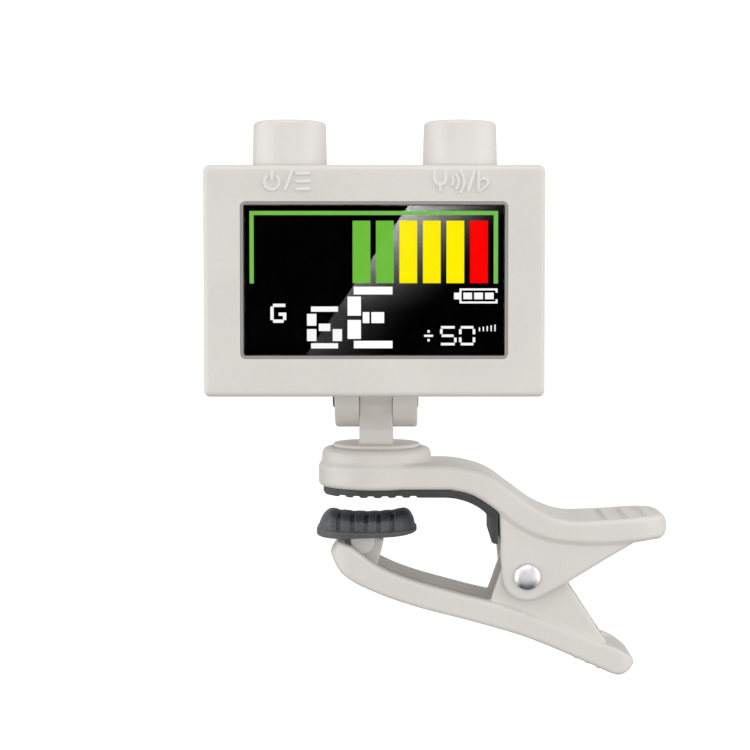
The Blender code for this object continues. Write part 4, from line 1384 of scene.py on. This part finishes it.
def world_light(from_below, from_above):
    """Soft light from all round, stronger from above."""
    world = bpy.data.worlds.new("soft_studio")
    bpy.context.scene.world = world
    world.use_nodes = True
    tree = world.node_tree
    place = tree.nodes.new("ShaderNodeTexCoord")
    facing = tree.nodes.new("ShaderNodeVectorMath")
    facing.operation = "DOT_PRODUCT"
    facing.inputs[1].default_value = (0, 0, 1)
    tree.links.new(place.outputs["Generated"], facing.inputs[0])
    level = ranged(tree, facing.outputs["Value"], from_below, from_above, -1, 1)
    tree.links.new(level, tree.nodes["Background"].inputs["Color"])


def area_light(name, place, aim, size, power, glossy=True):
    data = bpy.data.lights.new(name, "AREA")
    data.shape = "DISK"
    data.size = size
    data.energy = power
    light = new_object(name, data)
    light.location = place
    light.rotation_euler = (Vector(aim) - Vector(place)).to_track_quat("-Z", "Y").to_euler()
    light.visible_camera = False
    light.visible_glossy = glossy


def card(name, corners, depth, material):
    """A flat card behind the camera that only reflections can see."""
    mesh = bpy.data.meshes.new(name)
    mesh.from_pydata([(x * MM, depth * MM, z * MM) for x, z in corners], [], [(0, 1, 2, 3)])
    mesh.materials.append(material)
    obj = new_object(name, mesh)
    hidden_from(obj, "camera", "diffuse", "shadow", "volume_scatter")


def glare_material():
    """Light that fades away from the card's upper left corner."""
    finish = Finish("window_glare", **BLACK_CARD, Emission_Color=(1, 1, 1, 1))
    split = finish.node("SeparateXYZ")
    finish.link(finish.coordinates, split.inputs[0])
    (top_x, top), (foot_x, foot) = GLARE_SIDE
    down = finish.range(split.outputs["Z"], 1.0, 0.0, top * MM, GLARE_FOOT * MM)
    left = finish.range(split.outputs["Z"], top_x * MM, foot_x * MM, top * MM, foot * MM)
    across = finish.math("SUBTRACT", split.outputs["X"], left)
    fade = finish.range(across, 1.0, 0.0, 0.0, GLARE_WIDTH * MM)
    steep, soft = finish.math("POWER", down, 1.23), finish.math("POWER", fade, 2.0)
    both = finish.math("MULTIPLY", steep, soft)
    edge = finish.math("POWER", finish.range(across, 1.0, 0.0, 0.0, GLARE_EDGE * MM), 2.0)
    level = finish.math("MULTIPLY_ADD", both, GLARE_LEVEL, edge)
    finish.set("Emission Strength", level)
    return finish.material


def screen_reflections():
    black = Finish("black_flag", **BLACK_CARD)
    flag = ((-82, -13), (60, -13), (60, 76), (-82, 76))
    card("reflection_flag", flag, -620, black.material)
    outline = [(-60, -110), (110, -110), (110, 100), (-60, 100)]
    shade = slab("under_card", [outline], -101, -100, "XY")
    shade.data.transform(Matrix.Scale(MM, 4) @ shade.matrix_world)
    shade.matrix_world = Matrix.Identity(4)
    shade.data.materials.append(black.material)
    hidden_from(shade, *UNSEEN_CARD)
    top, foot = GLARE_SIDE
    glare = (top, (GLARE_RIGHT, top[1]), (GLARE_RIGHT, foot[1]), foot)
    card("reflection_glare", glare, -600, glare_material())


def reflector(name, place, aim, half, level):
    """A bright square card beside the product that only its reflections show."""
    glow = {"Emission_Strength": level, "Emission_Color": (1, 1, 1, 1)}
    finish = Finish(name, **BLACK_CARD, **glow)
    turn = (Vector(aim) - Vector(place)).to_track_quat("-Z", "Y").to_matrix().to_4x4()
    square = ((-half, -half, 0), (half, -half, 0), (half, half, 0), (-half, half, 0))
    mesh = bpy.data.meshes.new(name)
    mesh.from_pydata(square, [], [(0, 1, 2, 3)])
    mesh.transform(Matrix.Translation(place) @ turn)
    mesh.materials.append(finish.material)
    obj = new_object(name, mesh)
    hidden_from(obj, *UNSEEN_CARD)


def place_camera():
    """At the height of the screen and square to it, a little to the handles' side."""
    data = bpy.data.cameras.new("camera")
    frame_side, focal_in_frames = 36.0, 2.394
    data.sensor_width = frame_side
    data.lens = frame_side * focal_in_frames
    downward = 0.038
    data.shift_x = -0.0463
    data.shift_y = -0.1253 + downward * focal_in_frames
    data.clip_start, data.clip_end = 0.01, 20.0
    camera = new_object("camera", data)
    camera.location = (0.005, -0.27, 0.0317)
    camera.rotation_euler = (math.radians(90) - math.atan(downward), 0, 0)
    bpy.context.scene.camera = camera


def studio():
    backdrop()
    world_light(from_below=0.405, from_above=0.865)
    aim = (0.008, -0.008, 0.015)
    area_light("front_light", (0.1, -1.0, 0.05), aim, 0.8, 1.8, glossy=False)
    area_light("left_light", (-1.0, -0.5, 0.06), aim, 0.8, 2.2)
    area_light("right_light", (1.0, -0.45, 0.06), aim, 0.8, 2.55)
    area_light("top_light", (0.05, -0.45, 0.9), aim, 0.8, 0.8)
    reflector("left_reflector", (-0.8, -0.1, 0.1), aim, 0.5, 2.6)
    reflector("right_reflector", (0.8, -0.1, 0.1), aim, 0.5, 2.0)
    reflector("front_reflector", (0.1, -1.0, 0.05), aim, 0.4, 1.08)
    reflector("top_reflector", (-0.1, -0.35, 0.75), aim, 0.4, 2.2)
    screen_reflections()
    place_camera()
    bpy.context.scene.view_settings.view_transform = "Standard"


build_head()
build_clip()
dress_carried_nodes()
studio()
